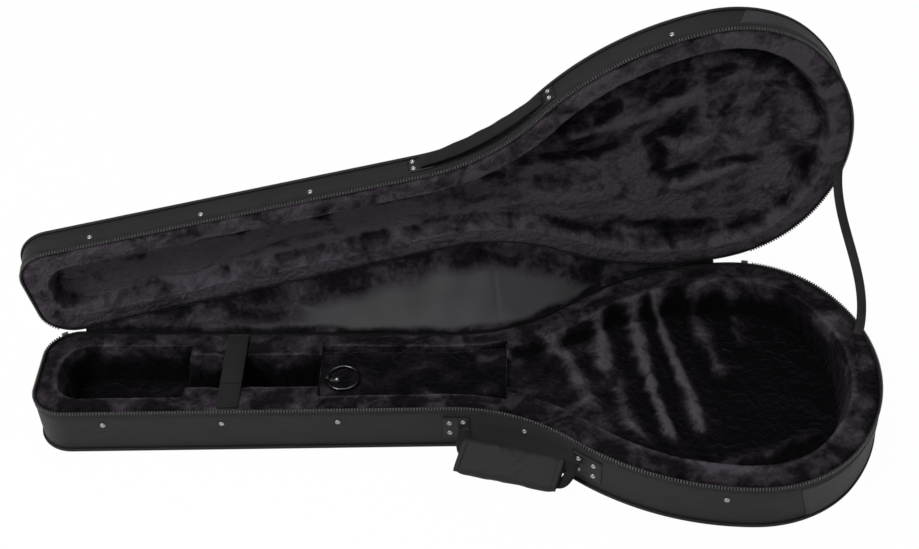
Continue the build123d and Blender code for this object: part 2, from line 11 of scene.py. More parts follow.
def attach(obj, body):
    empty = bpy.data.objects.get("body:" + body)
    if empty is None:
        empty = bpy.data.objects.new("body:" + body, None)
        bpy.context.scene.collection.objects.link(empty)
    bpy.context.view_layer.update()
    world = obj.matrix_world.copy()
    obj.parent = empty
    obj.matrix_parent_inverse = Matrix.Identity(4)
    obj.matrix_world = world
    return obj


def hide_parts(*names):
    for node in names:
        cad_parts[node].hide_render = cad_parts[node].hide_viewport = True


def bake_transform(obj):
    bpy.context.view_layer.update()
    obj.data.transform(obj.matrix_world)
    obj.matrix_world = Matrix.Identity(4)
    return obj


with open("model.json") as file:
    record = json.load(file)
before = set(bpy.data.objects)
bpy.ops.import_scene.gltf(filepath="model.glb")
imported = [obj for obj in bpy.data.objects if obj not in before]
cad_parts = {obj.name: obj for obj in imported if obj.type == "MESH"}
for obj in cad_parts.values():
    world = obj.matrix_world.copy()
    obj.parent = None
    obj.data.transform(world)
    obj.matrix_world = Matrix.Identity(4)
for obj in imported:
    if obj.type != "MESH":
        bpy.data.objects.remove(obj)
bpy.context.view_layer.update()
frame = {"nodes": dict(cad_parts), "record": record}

# Sizes of the case in millimetres, as in the part's source
HALF_LENGTH = 522.5
BOUT = 192.0
TIP_RADIUS = 216.0
SIDE_RADIUS = 152.0
BOUT_RADIUS = 340.0
WAIST_RADIUS = 240.0
WAIST = 65.0
HEAD = 71.0
CORNER = 42.0
RIM = 71.0
DEPTHS = {"base": 71.0, "lid": 42.0}
OPEN_ANGLE = math.radians(86.0)
HINGE_GAP = 0.5

# Places and levels of the plush, and the insets of its walls from the case's edge
RIM_PLUSH = 67.0
HEAD_INSET, HEAD_ROUND = 28.8, 31.2
NECK_INSET = 26.8
BODY_INSET = 38.8
LID_INSET = 30.8
WELL_END = -338.8
CHANNEL = (-362.0, -170.8)
RECESS = (-166.6, 62.8)
COMPARTMENT = (-155.2, 53.2)
BODY_START = 67.3
RAMP = (96.0, 318.0)
RAMP_TOP, RAMP_FOOT = 56.8, 19.3
WELL_FLOOR, POCKET_FLOOR = 16.4, 16.8
LEDGE, WAY_LEVEL = 54.15, 56.6
LID_FLOOR = 22.6
PAD = (-166.9, 63.1)
PAD_LEVEL, PAD_INSET, PAD_REACH = 61.0, 28.0, 43.5
STRAP_X = -278.0
STRAP_WIDTH = 27.0

# Ends along X of the zipper, the hinge tapes and the gusset, and of the handle's loop
ZIP_ENDS = (-508.5, 386.0)
TAPE_ENDS = {"tail": (371.0, 251.0), "head": (-452.0, -480.0)}
GUSSET_ENDS = (338.0, -477.0)
SEAM_X = 56.0
PIVOTS = (12.0, 150.0)
PIVOT_OUT, PIVOT_DEPTH = 4.0, 35.0
HANG = math.radians(30)
LID_HANDLE_DEPTH = 23.6


# Arrays
def stacked(*values):
    """Arrays brought to one shape and stacked along a new last axis."""
    return np.stack(np.broadcast_arrays(*values), -1)


def unit(v):
    """Directions of length one."""
    return v / np.linalg.norm(v, axis=-1, keepdims=True)


def squared(v, along):
    """Directions of length one, turned square to others."""
    return unit(v - (v * along).sum(-1, keepdims=True) * along)


def run_of(path):
    """How far each point of a path lies along it."""
    return np.concatenate([[0], np.cumsum(np.linalg.norm(np.diff(path, axis=0), axis=1))])


def sampled(at, run, rows):
    """Rows of numbers read between their places on a run."""
    return np.stack([np.interp(at, run, column) for column in rows.T], -1)


# Shapes
def arc(centre, radius, start, end, outward=1.0):
    """Points on an arc about 2 mm apart, and outward directions: centre + radius (cos a, sin a)."""
    count = max(int(abs(end - start) * radius / 2.0), 4)
    a = np.linspace(start, end, count, endpoint=False)
    way = stacked(np.cos(a), np.sin(a))
    return np.array(centre) + radius * way, outward * way


def case_edge():
    """The case's edge from above as points, outward directions and lengths along it.

    It starts at the tail's tip, runs along the hinge side to the head and comes back along the
    front. Four arcs touch each other, a straight line runs on to the head corner's arc, and the
    second half is the first one mirrored.
    """
    tip = np.array([HALF_LENGTH - TIP_RADIUS, 0.0])
    rise = BOUT - SIDE_RADIUS
    run = math.sqrt((TIP_RADIUS - SIDE_RADIUS) ** 2 - rise**2)
    widest = tip[0] + run
    bout = np.array([widest, BOUT - BOUT_RADIUS])
    waist_y = WAIST + WAIST_RADIUS
    drop = waist_y - bout[1]
    waist = np.array([widest - math.sqrt((BOUT_RADIUS + WAIST_RADIUS) ** 2 - drop**2), waist_y])
    corner = np.array([CORNER - HALF_LENGTH, HEAD - CORNER])
    gap = waist - corner
    line = math.atan2(gap[1], gap[0]) - math.asin((WAIST_RADIUS + CORNER) / np.hypot(*gap))
    tip_turn = math.atan2(rise, run)
    bout_turn = math.atan2(drop, waist[0] - widest)
    quarter = math.pi / 2
    parts = [
        arc(tip, TIP_RADIUS, 0.0, tip_turn),
        arc((widest, rise), SIDE_RADIUS, tip_turn, quarter),
        arc(bout, BOUT_RADIUS, quarter, bout_turn),
        arc(waist, WAIST_RADIUS, bout_turn + 2 * quarter, line + 3 * quarter, -1.0),
    ]
    way = np.array([-math.sin(line), math.cos(line)])
    start, end = waist - WAIST_RADIUS * way, corner + CORNER * way
    t = np.linspace(0, 1, 200, endpoint=False)[:, None]
    parts.append((start + (end - start) * t, np.repeat(way[None], 200, 0)))
    parts.append(arc(corner, CORNER, line + quarter, 2 * quarter))
    t = np.linspace(0, 1, 14)[:, None]
    head = np.array([[-HALF_LENGTH, corner[1]]]) * (1 - t) + np.array([[-HALF_LENGTH, 0.0]]) * t
    parts.append((head, np.repeat([[-1.0, 0.0]], 14, 0)))
    points, ways = (np.concatenate(rows) for rows in zip(*parts))
    points, ways = (np.concatenate([rows, rows[-2::-1] * [1, -1]]) for rows in (points, ways))
    steps = np.hypot(*np.diff(points, axis=0).T)
    return points, ways, np.concatenate([[0.0], np.cumsum(steps)]), corner, bout


EDGE, OUTWARD, ALONG, HEAD_CENTRE, BOUT_CENTRE = case_edge()
ROUND = ALONG[-1]
HALF = len(ALONG) // 2 + 1

# The hinge line touches the head corner and the widest part, and the lid turned back on it
span = BOUT_CENTRE - HEAD_CENTRE
turn = math.atan2(span[1], span[0]) + math.asin((BOUT_RADIUS - CORNER) / np.hypot(*span))
HINGE = np.array([math.cos(turn), math.sin(turn), 0.0])
BEHIND = np.array([-math.sin(turn), math.cos(turn), 0.0])
HINGE_POINT = BEHIND * (BEHIND[:2] @ HEAD_CENTRE + CORNER + HINGE_GAP) + [0.0, 0.0, RIM]


def swung(v):
    """Vectors turned back about the hinge line by the opening angle."""
    v = np.asarray(v, float)
    c, s = math.cos(OPEN_ANGLE), -math.sin(OPEN_ANGLE)
    return v * c + np.cross(HINGE, v) * s + np.multiply.outer(v @ HINGE, HINGE) * (1 - c)


LID_ORIGIN = HINGE_POINT + swung(np.array([0.0, 0.0, RIM]) - HINGE_POINT)
LID_AXES = np.stack([swung([1, 0, 0]), swung([0, 1, 0]), swung([0, 0, 1])])


def place(half, x, y, depth):
    """Points of the row frame for places on a half, depth measured from its rim into it."""
    if half == "base":
        return stacked(x, y, RIM - depth)
    return LID_ORIGIN + stacked(x, y, depth) @ LID_AXES


def edge_at(s):
    """Points and outward directions of the edge at lengths s along it."""
    s = np.mod(s, ROUND)
    return sampled(s, ALONG, EDGE), unit(sampled(s, ALONG, OUTWARD))


def at_x(x, side):
    """Length along the edge at a place on X, on the hinge side (1) or the front (-1)."""
    s = np.interp(-np.asarray(x, float), -EDGE[:HALF, 0], ALONG[:HALF])
    return s if side > 0 else ROUND - s


def ripple(u, v, length, seed):
    """Soft unevenness from -1 to 1: nine sines in seeded directions, about length apart."""
    draw = np.random.default_rng(seed)
    total = 0.0
    for _ in range(9):
        a, phase = draw.uniform(0, 2 * math.pi, 2)
        k = 2 * math.pi / (length * draw.uniform(0.7, 1.5))
        total = total + np.sin(k * (u * math.cos(a) + v * math.sin(a)) + phase)
    return total / 3.0 / 1.4


def eased(t):
    """0 before 0, 1 after 1, and a smooth step between."""
    t = np.clip(t, 0.0, 1.0)
    return t * t * (3 - 2 * t)


def swell(half, s, depth):
    """How far the padded side wall stands out of its straight line: a low bulge and wrinkles."""
    t = np.clip(depth / DEPTHS[half], 0, 1)
    seed = 3 if half == "base" else 11
    marks = 0.22 * ripple(s, depth * 2.2, 70, seed) + 0.12 * ripple(s, depth * 3, 26, seed + 1)
    return np.sin(math.pi * t) * (0.55 + marks)


def wall(half, s, out, depth):
    """Points on or near the side wall: the edge moved outwards, at a depth below the rim."""
    s, out, depth = np.broadcast_arrays(s, out, depth)
    point, way = edge_at(s)
    reach = out + swell(half, s, depth)
    return place(half, point[..., 0] + way[..., 0] * reach, point[..., 1] + way[..., 1] * reach, depth)


def added(name, data):
    """A new object in the scene."""
    thing = bpy.data.objects.new(name, data)
    bpy.context.scene.collection.objects.link(thing)
    return thing


def cloth_map(mesh, pattern):
    """The mesh's cloth map, from coordinates in metres for each of its points."""
    loops = np.zeros(len(mesh.loops), np.int32)
    mesh.loops.foreach_get("vertex_index", loops)
    layer = mesh.uv_layers.new(name="cloth")
    layer.data.foreach_set("uv", pattern[loops].astype(np.float32).ravel())


def build(name, points, faces, body, slot, finish, smooth=True, pattern=None, levels=None):
    """A piece from points in millimetres and outward faces, riding on a body.

    pattern holds the cloth map's coordinates of each point. levels holds named numbers for each
    point: shade, painted light and shade on the pile, and pile, how much of it there is.
    """
    mesh = bpy.data.meshes.new(name)
    mesh.from_pydata((points / 1000.0).tolist(), [], faces)
    if pattern is not None:
        cloth_map(mesh, pattern / 1000.0)
    for level, value in (levels or {}).items():
        layer = mesh.attributes.new(level, "FLOAT", "POINT")
        layer.data.foreach_set("value", value.astype(np.float32).ravel())
    mesh.polygons.foreach_set("use_smooth", [smooth] * len(mesh.polygons))
    mesh.materials.append(finish)
    mesh.update()
    piece = added(name, mesh)
    if body:
        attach(piece, body)
    return piece


def quads(rows, columns, closed=(False, False)):
    """Faces of a grid of points, joined end to end where closed says so."""
    i = np.arange(rows if closed[0] else rows - 1)[:, None]
    j = np.arange(columns if closed[1] else columns - 1)
    below, right = (i + 1) % rows * columns, (j + 1) % columns
    return stacked(i * columns + j, below + j, below + right, i * columns + right).reshape(-1, 4)


def grid(name, points, body, slot, finish, closed=(False, False), caps=False, flip=False,
         pattern=None, **more):
    """A piece from a grid of points, joined end to end where closed says so."""
    rows, columns = points.shape[:2]
    faces = quads(rows, columns, closed)[:, ::-1 if flip else 1].tolist()
    if caps:
        first, last = list(range(columns)), [(rows - 1) * columns + k for k in range(columns)]
        faces += [first, last[::-1]] if not flip else [first[::-1], last]
    if pattern is None:
        steps = [np.linalg.norm(np.diff(points, axis=a), axis=2).mean(1 - a) for a in (0, 1)]
        u, v = (np.concatenate([[0], np.cumsum(step)]) for step in steps)
        pattern = stacked(u[:, None], v)
    return build(name, points.reshape(-1, 3), faces, body, slot, finish,
                 pattern=pattern.reshape(-1, 2), **more)


def tube(name, points, body, slot, finish, **more):
    """A piece of closed sections, row by row, with a cap at each end."""
    return grid(name, points, body, slot, finish, closed=(False, True), caps=True, **more)


def copies(faces, corners, count):
    """Faces of count copies of one small shape with that many corners."""
    shifts = corners * np.arange(count)[:, None, None]
    return (faces[None] + shifts).reshape(-1, faces.shape[1]).tolist()


def carried(name, half, profile, s, slot, finish, closed=False):
    """A closed profile of (distance out, depth) points carried round the case's edge."""
    out, depth = np.array(profile, float).T
    return grid(name, wall(half, s[:, None], out, depth), half, slot, finish,
                closed=(closed, True), caps=not closed, flip=half == "lid")


def oval(out, depth, wide, tall):
    """An oval profile about (out, depth)."""
    a = np.linspace(0, 2 * math.pi, 14, endpoint=False)
    return stacked(out + wide * np.cos(a), depth - tall * np.sin(a))


def band(near, far, inner, outer, rows, soft=0.3):
    """A flat band's profile with softened edges, between two depths and two distances out."""
    depth = np.linspace(near + soft, far - soft, rows)
    middle = (inner + outer) / 2
    top, bottom = [(middle, near)], [(middle, far)]
    face = [(outer, d) for d in depth]
    back = [(inner, d) for d in depth[::-1]]
    return np.array((top + face + bottom + back)[::-1])


def strap(name, path, across, width, thick, body, slot, finish, edge=0.5):
    """Webbing: a flat rounded section of width by thick, carried along a path.

    Each section is path + across a + up b, where up is square to the path and to across, and
    (a, b) runs round a flat oval.
    """
    along = unit(np.gradient(path, axis=0))
    across = squared(np.asarray(across, float), along)
    up = np.cross(along, across)
    w, t = width / 2, thick / 2
    a = np.array([-w, -w + edge, 0, w - edge, w, w - edge, 0, -w + edge])
    b = np.array([0, -t, -t, -t, 0, t, t, t])
    points = path[:, None] + across[:, None] * a[None, :, None] + up[:, None] * b[None, :, None]
    return tube(name, points, body, slot, finish, pattern=stacked(run_of(path)[:, None], a))


STITCH_PITCH = 3.4


def stitches(name, rows, body, size=(2.3, 0.7, 0.4)):
    """Rows of thread stitches, each a small ridge along its row on a six-cornered foot.

    Every row is a path of points and the face's outward directions there.
    """
    length, wide, high = size
    shape = np.array([(-0.5, 0, 0), (0.5, 0, 0), (-0.3, -0.5, 0), (0.3, -0.5, 0), (-0.3, 0.5, 0),
                      (0.3, 0.5, 0), (-0.3, 0, 1), (0.3, 0, 1)]) * [length, wide, high]
    faces = np.array([(0, 2, 6), (0, 6, 4), (1, 7, 3), (1, 5, 7), (2, 3, 7), (2, 7, 6), (4, 6, 7),
                      (4, 7, 5), (0, 4, 5), (0, 5, 1), (0, 1, 3), (0, 3, 2)])
    points = []
    for path, out in rows:
        run = run_of(path)
        at = np.arange(STITCH_PITCH / 2, run[-1], STITCH_PITCH)
        ahead = unit(sampled(at + 0.5, run, path) - sampled(at - 0.5, run, path))
        way = squared(sampled(at, run, out), ahead)
        axes = np.stack([ahead, np.cross(way, ahead), way], 1)
        points.append((sampled(at, run, path)[:, None] + shape @ axes).reshape(-1, 3))
    points = np.concatenate(points)
    faces = copies(faces, len(shape), len(points) // len(shape))
    return build(name, points, faces, body, "piping", THREAD, smooth=False, pattern=points[:, :2])


def wall_row(half, s, out, depth):
    """A stitch row on the side wall, as points and outward directions."""
    s, out, depth = np.broadcast_arrays(np.asarray(s, float), out, depth)
    here = wall(half, s, out, depth)
    return here, wall(half, s, out + 1.0, depth) - here


# Finishes
def tinted(shade, share):
    """A colour made lighter or darker by a share."""
    return tuple(c * share for c in shade)


class Value:
    """A node's output that can stand in a Python sum."""

    def __init__(self, finish, socket):
        self.finish, self.socket = finish, socket

    def maths(self, operation, *values):
        return self.finish.node("ShaderNodeMath", {"operation": operation}, dict(enumerate(values)))

    def __add__(self, other):
        return self.maths("ADD", self, other)

    def __sub__(self, other):
        return self.maths("SUBTRACT", self, other)

    def __rsub__(self, other):
        return self.maths("SUBTRACT", other, self)

    def __mul__(self, other):
        return self.maths("MULTIPLY", self, other)

    def wave(self, length):
        """Sine of the value with that wave length, from -1 to 1."""
        return self.maths("SINE", self * (2 * math.pi / length))


class Finish:
    """A material under construction: Object coordinates, a cloth map, and a shader at the end."""

    def __init__(self, name):
        self.material = bpy.data.materials.new(name)
        self.material.use_nodes = True
        self.tree = self.material.node_tree
        self.tree.nodes.clear()
        self.points = self.node("ShaderNodeTexCoord", output="Object")

    def node(self, kind, settings=None, inputs=None, output=0):
        """Any node: its settings first, then values or links for its inputs."""
        made = self.tree.nodes.new(kind)
        for key, value in (settings or {}).items():
            if key == "stops":
                ramp = made.color_ramp
                while len(ramp.elements) < len(value):
                    ramp.elements.new(0.5)
                for stop, (at, shade) in zip(ramp.elements, value):
                    stop.position, stop.color = at, (*shade, 1.0)
            else:
                setattr(made, key, value)
        for key, value in (inputs or {}).items():
            if isinstance(value, Value):
                self.tree.links.new(value.socket, made.inputs[key])
            else:
                made.inputs[key].default_value = value
        return Value(self, made.outputs[output])

    def noise(self, scale, detail=3.0, roughness=0.5, distortion=0.0, points=None):
        """Noise from 0 to 1."""
        inputs = {"Vector": points or self.points, "Scale": scale, "Detail": detail,
                  "Roughness": roughness, "Distortion": distortion}
        return self.node("ShaderNodeTexNoise", {}, inputs, "Fac")

    def stretched(self, x, y, z, turn_z=0.0):
        """Object coordinates with the axes scaled, for marks that run one way."""
        inputs = {"Vector": self.points, "Scale": (x, y, z), "Rotation": (0, 0, turn_z)}
        return self.node("ShaderNodeMapping", {}, inputs)

    def cells(self, scale):
        """Distance to scattered cell centres."""
        inputs = {"Vector": self.points, "Scale": scale}
        return self.node("ShaderNodeTexVoronoi", {}, inputs, "Distance")

    def cloth(self):
        """Both coordinates of the cloth map, in metres."""
        uv = self.node("ShaderNodeUVMap", {"uv_map": "cloth"})
        split = self.tree.nodes.new("ShaderNodeSeparateXYZ")
        self.tree.links.new(uv.socket, split.inputs[0])
        return Value(self, split.outputs[0]), Value(self, split.outputs[1])

    def attribute(self, name):
        """A number that the mesh carries at each point."""
        return self.node("ShaderNodeAttribute", {"attribute_name": name}, {}, "Fac")

    def ramp(self, fac, *stops):
        """A colour that follows a value through stops."""
        return self.node("ShaderNodeValToRGB", {"stops": stops}, {"Fac": fac}, "Color")

    def mixed(self, fac, a, b):
        """Colour a where fac is 0 and b where it is 1."""
        a, b = (c if isinstance(c, Value) else (*c, 1.0) for c in (a, b))
        return self.node("ShaderNodeMix", {"data_type": "RGBA"}, {0: fac, 6: a, 7: b}, 2)

    def firm(self, value, low=0.35, high=0.68):
        """A value brought to a firmer contrast between two levels."""
        return self.node("ShaderNodeMapRange", {"interpolation_type": "SMOOTHSTEP"},
                         {0: value, 1: low, 2: high})

    def bump(self, height, distance, strength=1.0, under=None):
        """A bump of that height in metres, over another bump where one is given."""
        inputs = {"Height": height, "Distance": distance, "Strength": strength}
        if under is not None:
            inputs["Normal"] = under
        return self.node("ShaderNodeBump", {}, inputs, "Normal")

    def surface(self, colour, rough, bump, **sockets):
        """The shader; more sockets are named with underscores for spaces."""
        inputs = {"Base Color": colour, "Roughness": rough, "Normal": bump}
        inputs.update((key.replace("_", " "), value) for key, value in sockets.items())
        for key, value in inputs.items():
            if isinstance(value, tuple) and len(value) == 3:
                inputs[key] = (*value, 1.0)
        return self.node("ShaderNodeBsdfPrincipled", {}, inputs)

    def done(self, *values, **sockets):
        """The finished material with one shader."""
        return self.shown(self.surface(*values, **sockets))

    def shown(self, shader):
        """The finished material with that shader on its output."""
        output = self.tree.nodes.new("ShaderNodeOutputMaterial")
        self.tree.links.new(shader.socket, output.inputs["Surface"])
        return self.material


def plush_surface(f):
    """Long dark plush: patches of pile laid different ways, clumps of pile and fine hairs, with a grey
    sheen.
    """
    patches = f.noise(22.0, 4.0, 0.6, 0.8, f.stretched(1.0, 1.2, 1.2, 0.5))
    clumps = f.noise(110.0, 4.0, 0.6, 0.6)
    hairs = f.noise(900.0, 2.0, 0.6, 0.0, f.stretched(1.0, 0.6, 0.6, 0.5))
    # The shade level is painted light and shade: it lightens the pile where light falls and darkens it
    # where shade falls.
    tone = patches * 0.88 + clumps * 0.3 + (f.attribute("shade") - 1.0) * 0.25 - 0.09
    colour = f.ramp(tone, (0.30, (0.0012, 0.0009, 0.0013)), (0.46, (0.0085, 0.0068, 0.0089)),
                    (0.60, (0.037, 0.0303, 0.0383)), (0.76, (0.088, 0.075, 0.091)))
    colour = f.mixed(hairs * 0.45, colour, (0.003, 0.0024, 0.0032))
    soft = f.bump(f.firm(clumps, 0.3, 0.7), 0.0028, 0.6)
    pile = f.bump(hairs, 0.0009, 0.4, soft)
    return f.surface(colour, 0.95, pile, Sheen_Weight=0.08, Sheen_Roughness=0.4,
                     Sheen_Tint=(0.5, 0.43, 0.52), Specular_IOR_Level=0.05)


def plush_finish():
    """Plush alone."""
    f = Finish("plush")
    return f.shown(plush_surface(f))


def nylon_finish(name, shade, lift, pitch):
    """Woven nylon: over and under threads on the cloth map, faint rubbed patches, dull gloss."""
    f = Finish(name)
    u, v = f.cloth()
    weave = u.wave(pitch) * v.wave(pitch)
    rubbed = f.noise(16.0, 4.0, 0.6, 0.3)
    grime = f.noise(140.0, 2.0, 0.5)
    colour = f.mixed(f.firm(rubbed * 0.75 + grime * 0.25), shade, tinted(shade, lift))
    colour = f.mixed((weave + 1.0) * 0.22, colour, tinted(shade, 0.45))
    threads = f.bump(weave, 0.00012, 0.6)
    slack = f.bump(f.noise(26.0, 2.0, 0.45, 0.5), 0.0022, 0.35, threads)
    return f.done(colour, rubbed * 0.16 + 0.5, slack, Sheen_Weight=0.04, Sheen_Roughness=0.5,
                  Specular_IOR_Level=0.3)


def webbing_finish(name, shade, rib):
    """Ribbed webbing: ribs across its length, fine threads and a paler rubbed crown."""
    f = Finish(name)
    u, v = f.cloth()
    ribs = u.wave(rib) * 0.6 + v.wave(rib * 0.55) * u.wave(rib * 0.5) * 0.4
    rubbed = f.noise(40.0, 3.0, 0.6)
    colour = f.mixed((ribs + 1.0) * 0.35, tinted(shade, 0.4), shade)
    colour = f.mixed(f.firm(rubbed) * 0.35, colour, tinted(shade, 2.1))
    return f.done(colour, rubbed * 0.2 + 0.6, f.bump(ribs, 0.0003, 0.8), Sheen_Weight=0.06,
                  Sheen_Roughness=0.5, Specular_IOR_Level=0.25)


def gusset_finish():
    """Smooth plain cloth with fine weave, slack creases and a grey sheen, edged with plush."""
    f = Finish("gusset_cloth")
    u, v = f.cloth()
    weave = u.wave(0.0007) * v.wave(0.0007)
    patches = f.noise(9.0, 3.0, 0.5, 0.4)
    colour = f.ramp(patches, (0.3, (0.018, 0.0162, 0.0184)), (0.7, (0.036, 0.0328, 0.0368)))
    creases = f.bump(f.noise(17.0, 2.0, 0.4, 0.8), 0.003, 0.3, f.bump(weave, 0.00008, 0.5))
    cloth = f.surface(colour, patches * 0.15 + 0.5, creases, Sheen_Weight=0.3,
                      Sheen_Roughness=0.4, Specular_IOR_Level=0.45)
    ragged = f.attribute("pile") + (f.noise(150.0, 3.0, 0.6) - 0.5) * 0.45
    share = f.firm(ragged, -0.05, 1.05)
    return f.shown(f.node("ShaderNodeMixShader", {}, {0: share, 1: cloth, 2: plush_surface(f)}))


def leather_finish(name, shade, scale):
    """Artificial leather: small pebbled cells, darker in the grooves, with soft gloss."""
    f = Finish(name)
    pebbles = f.cells(scale)
    worn = f.noise(60.0, 3.0, 0.6)
    colour = f.mixed(pebbles * 1.1, shade, tinted(shade, 0.35))
    colour = f.mixed(f.firm(worn) * 0.4, colour, tinted(shade, 1.9))
    return f.done(colour, worn * 0.2 + 0.4, f.bump(1.0 - pebbles, 0.0003, 0.6),
                  Specular_IOR_Level=0.4)


def metal_finish(name, shade, rough):
    """Plated metal: faint scratches and duller handled patches."""
    f = Finish(name)
    scratches = f.noise(420.0, 2.0, 0.6, 0.0, f.stretched(1.0, 0.08, 1.0, 0.7))
    handled = f.noise(90.0, 3.0, 0.6)
    colour = f.mixed(handled * 0.5, shade, tinted(shade, 0.62))
    return f.done(colour, handled * 0.18 + scratches * 0.1 + rough,
                  f.bump(scratches, 0.00004, 0.5), Metallic=1.0)


def teeth_finish():
    """Moulded zipper teeth: dark plastic with paler rubbed crowns."""
    f = Finish("zipper_teeth")
    rubbed = f.noise(300.0, 2.0, 0.6)
    colour = f.mixed(f.firm(rubbed) * 0.6, (0.04, 0.0385, 0.04), (0.115, 0.112, 0.115))
    return f.done(colour, rubbed * 0.2 + 0.28, f.bump(rubbed, 0.0001, 0.4))


def foam_finish():
    """Rigid pale foam: small pressed beads."""
    f = Finish("foam")
    beads = f.cells(260.0)
    tone = f.noise(30.0)
    colour = f.mixed(beads * 0.8, (0.82, 0.82, 0.79), (0.66, 0.66, 0.63))
    return f.done(colour, tone * 0.1 + 0.85, f.bump(1.0 - beads, 0.0006, 0.6))


def board_finish():
    """Fibreboard: mottled brown with short fibres."""
    f = Finish("fibreboard")
    fibres = f.noise(240.0, 4.0, 0.7, 0.0, f.stretched(1.0, 0.3, 1.0))
    colour = f.ramp(fibres, (0.3, (0.16, 0.10, 0.055)), (0.7, (0.30, 0.21, 0.12)))
    return f.done(colour, fibres * 0.1 + 0.75, f.bump(fibres, 0.0003, 0.5))


PLUSH = plush_finish()
NYLON = nylon_finish("nylon", (0.0076, 0.0070, 0.0078), 1.6, 0.0009)
THREAD = webbing_finish("thread", (0.03, 0.028, 0.03), 0.0006)
PIPING = nylon_finish("piping_cloth", (0.0085, 0.0078, 0.0087), 1.8, 0.0007)
PATCH = nylon_finish("tail_patch_nylon", (0.029, 0.0267, 0.0296), 1.5, 0.0013)
TAPE = webbing_finish("zipper_tape", (0.0115, 0.0105, 0.0115), 0.0012)
HINGE_TAPE = nylon_finish("hinge_tape", (0.009, 0.008, 0.0092), 1.5, 0.0008)
TEETH = teeth_finish()
CLOTH = gusset_finish()
WEBBING = webbing_finish("webbing", (0.0058, 0.0052, 0.0058), 0.0022)
STAY_WEBBING = webbing_finish("stay_webbing", (0.020, 0.0178, 0.0195), 0.0018)
ANCHOR = leather_finish("anchor_leather", (0.0065, 0.006, 0.0065), 700.0)
GRIP = nylon_finish("grip_cloth", (0.0088, 0.0078, 0.0088), 1.6, 0.001)
RIVET = metal_finish("rivet_steel", (0.46, 0.46, 0.47), 0.24)
PLATED = metal_finish("plated_steel", (0.085, 0.085, 0.09), 0.1)
SLIDER = metal_finish("slider_metal", (0.72, 0.71, 0.69), 0.3)
FOAM = foam_finish()
BOARD = board_finish()

# Foam, board and metal keep their solids
kept = {"foam": FOAM, "board": BOARD}
slots = {row["node"]: row["material_slot"] for row in frame["record"]["subparts"]}
for node, piece in frame["nodes"].items():
    finish = kept.get(slots[node], SLIDER if "zipper_slider" in node else PLATED)
    piece.data.materials.clear()
    piece.data.materials.append(finish)


# Plush inside the two halves
def distance_inside(x, y):
    """Distance of points from the case's edge, inside it."""
    half = EDGE[:HALF]
    flat_x, flat_y = x.ravel(), np.abs(y).ravel()
    out = np.empty(flat_x.shape)
    for start in range(0, len(out), 8000):
        part = slice(start, start + 8000)
        gap = (flat_x[part, None] - half[:, 0]) ** 2 + (flat_y[part, None] - half[:, 1]) ** 2
        out[part] = np.sqrt(gap.min(1))
    return out.reshape(x.shape)


def half_width(x, inset):
    """Half the width at x of the outline moved in from the edge."""
    edge = EDGE[:HALF] - OUTWARD[:HALF] * inset
    order = np.argsort(edge[:, 0])
    return np.interp(x, edge[order, 0], edge[order, 1])


def fitted_grid(inset, columns, rows, steep=()):
    """A grid over the inside of the outline: x along it, y a share of the width at x.

    Columns stand closer at both ends, and 0.5 mm apart over each steep stretch of x.
    """
    t = np.linspace(-1, 1, columns)
    reach = HALF_LENGTH - inset
    x = reach * (0.72 * t + 0.28 * np.sin(t * math.pi / 2))
    for low, high in steep:
        x = np.concatenate([x[(x < low) | (x > high)], np.arange(low, high, 0.5)])
    x = np.sort(x)
    width = half_width(x, inset)
    width[-1] = 0.4
    return np.repeat(x[:, None], rows, 1), width[:, None] * np.linspace(-1, 1, rows)


def hemmed(x, y, depth, drop):
    """A grid's places and depths with one more row all round, dropped like a turned hem."""
    x, y, depth = (np.pad(a, 1, mode="edge") for a in (x, y, depth))
    hem = np.full(depth.shape, drop)
    hem[1:-1, 1:-1] = 0.0
    return x, y, depth + hem


def between(x, low, high):
    """How far x lies inside a stretch."""
    return np.minimum(x - low, high - x)


def rounded_head(inset, x, y, d):
    """Distance inside an outline inset from the edge, whose head corners are rounder."""
    cx, cy = inset + HEAD_ROUND - HALF_LENGTH, HEAD - inset - HEAD_ROUND
    corner = (x < cx) & (np.abs(y) > cy)
    round_corner = HEAD_ROUND - np.hypot(x - cx, np.abs(y) - cy)
    return np.where(corner, np.minimum(d - inset, round_corner), d - inset)


def sunk(height, floor, s, start, run):
    """A surface lowered to a floor inside a pocket: an eased wall of width run."""
    return np.minimum(height, height + (floor - height) * eased((s - start) / run))


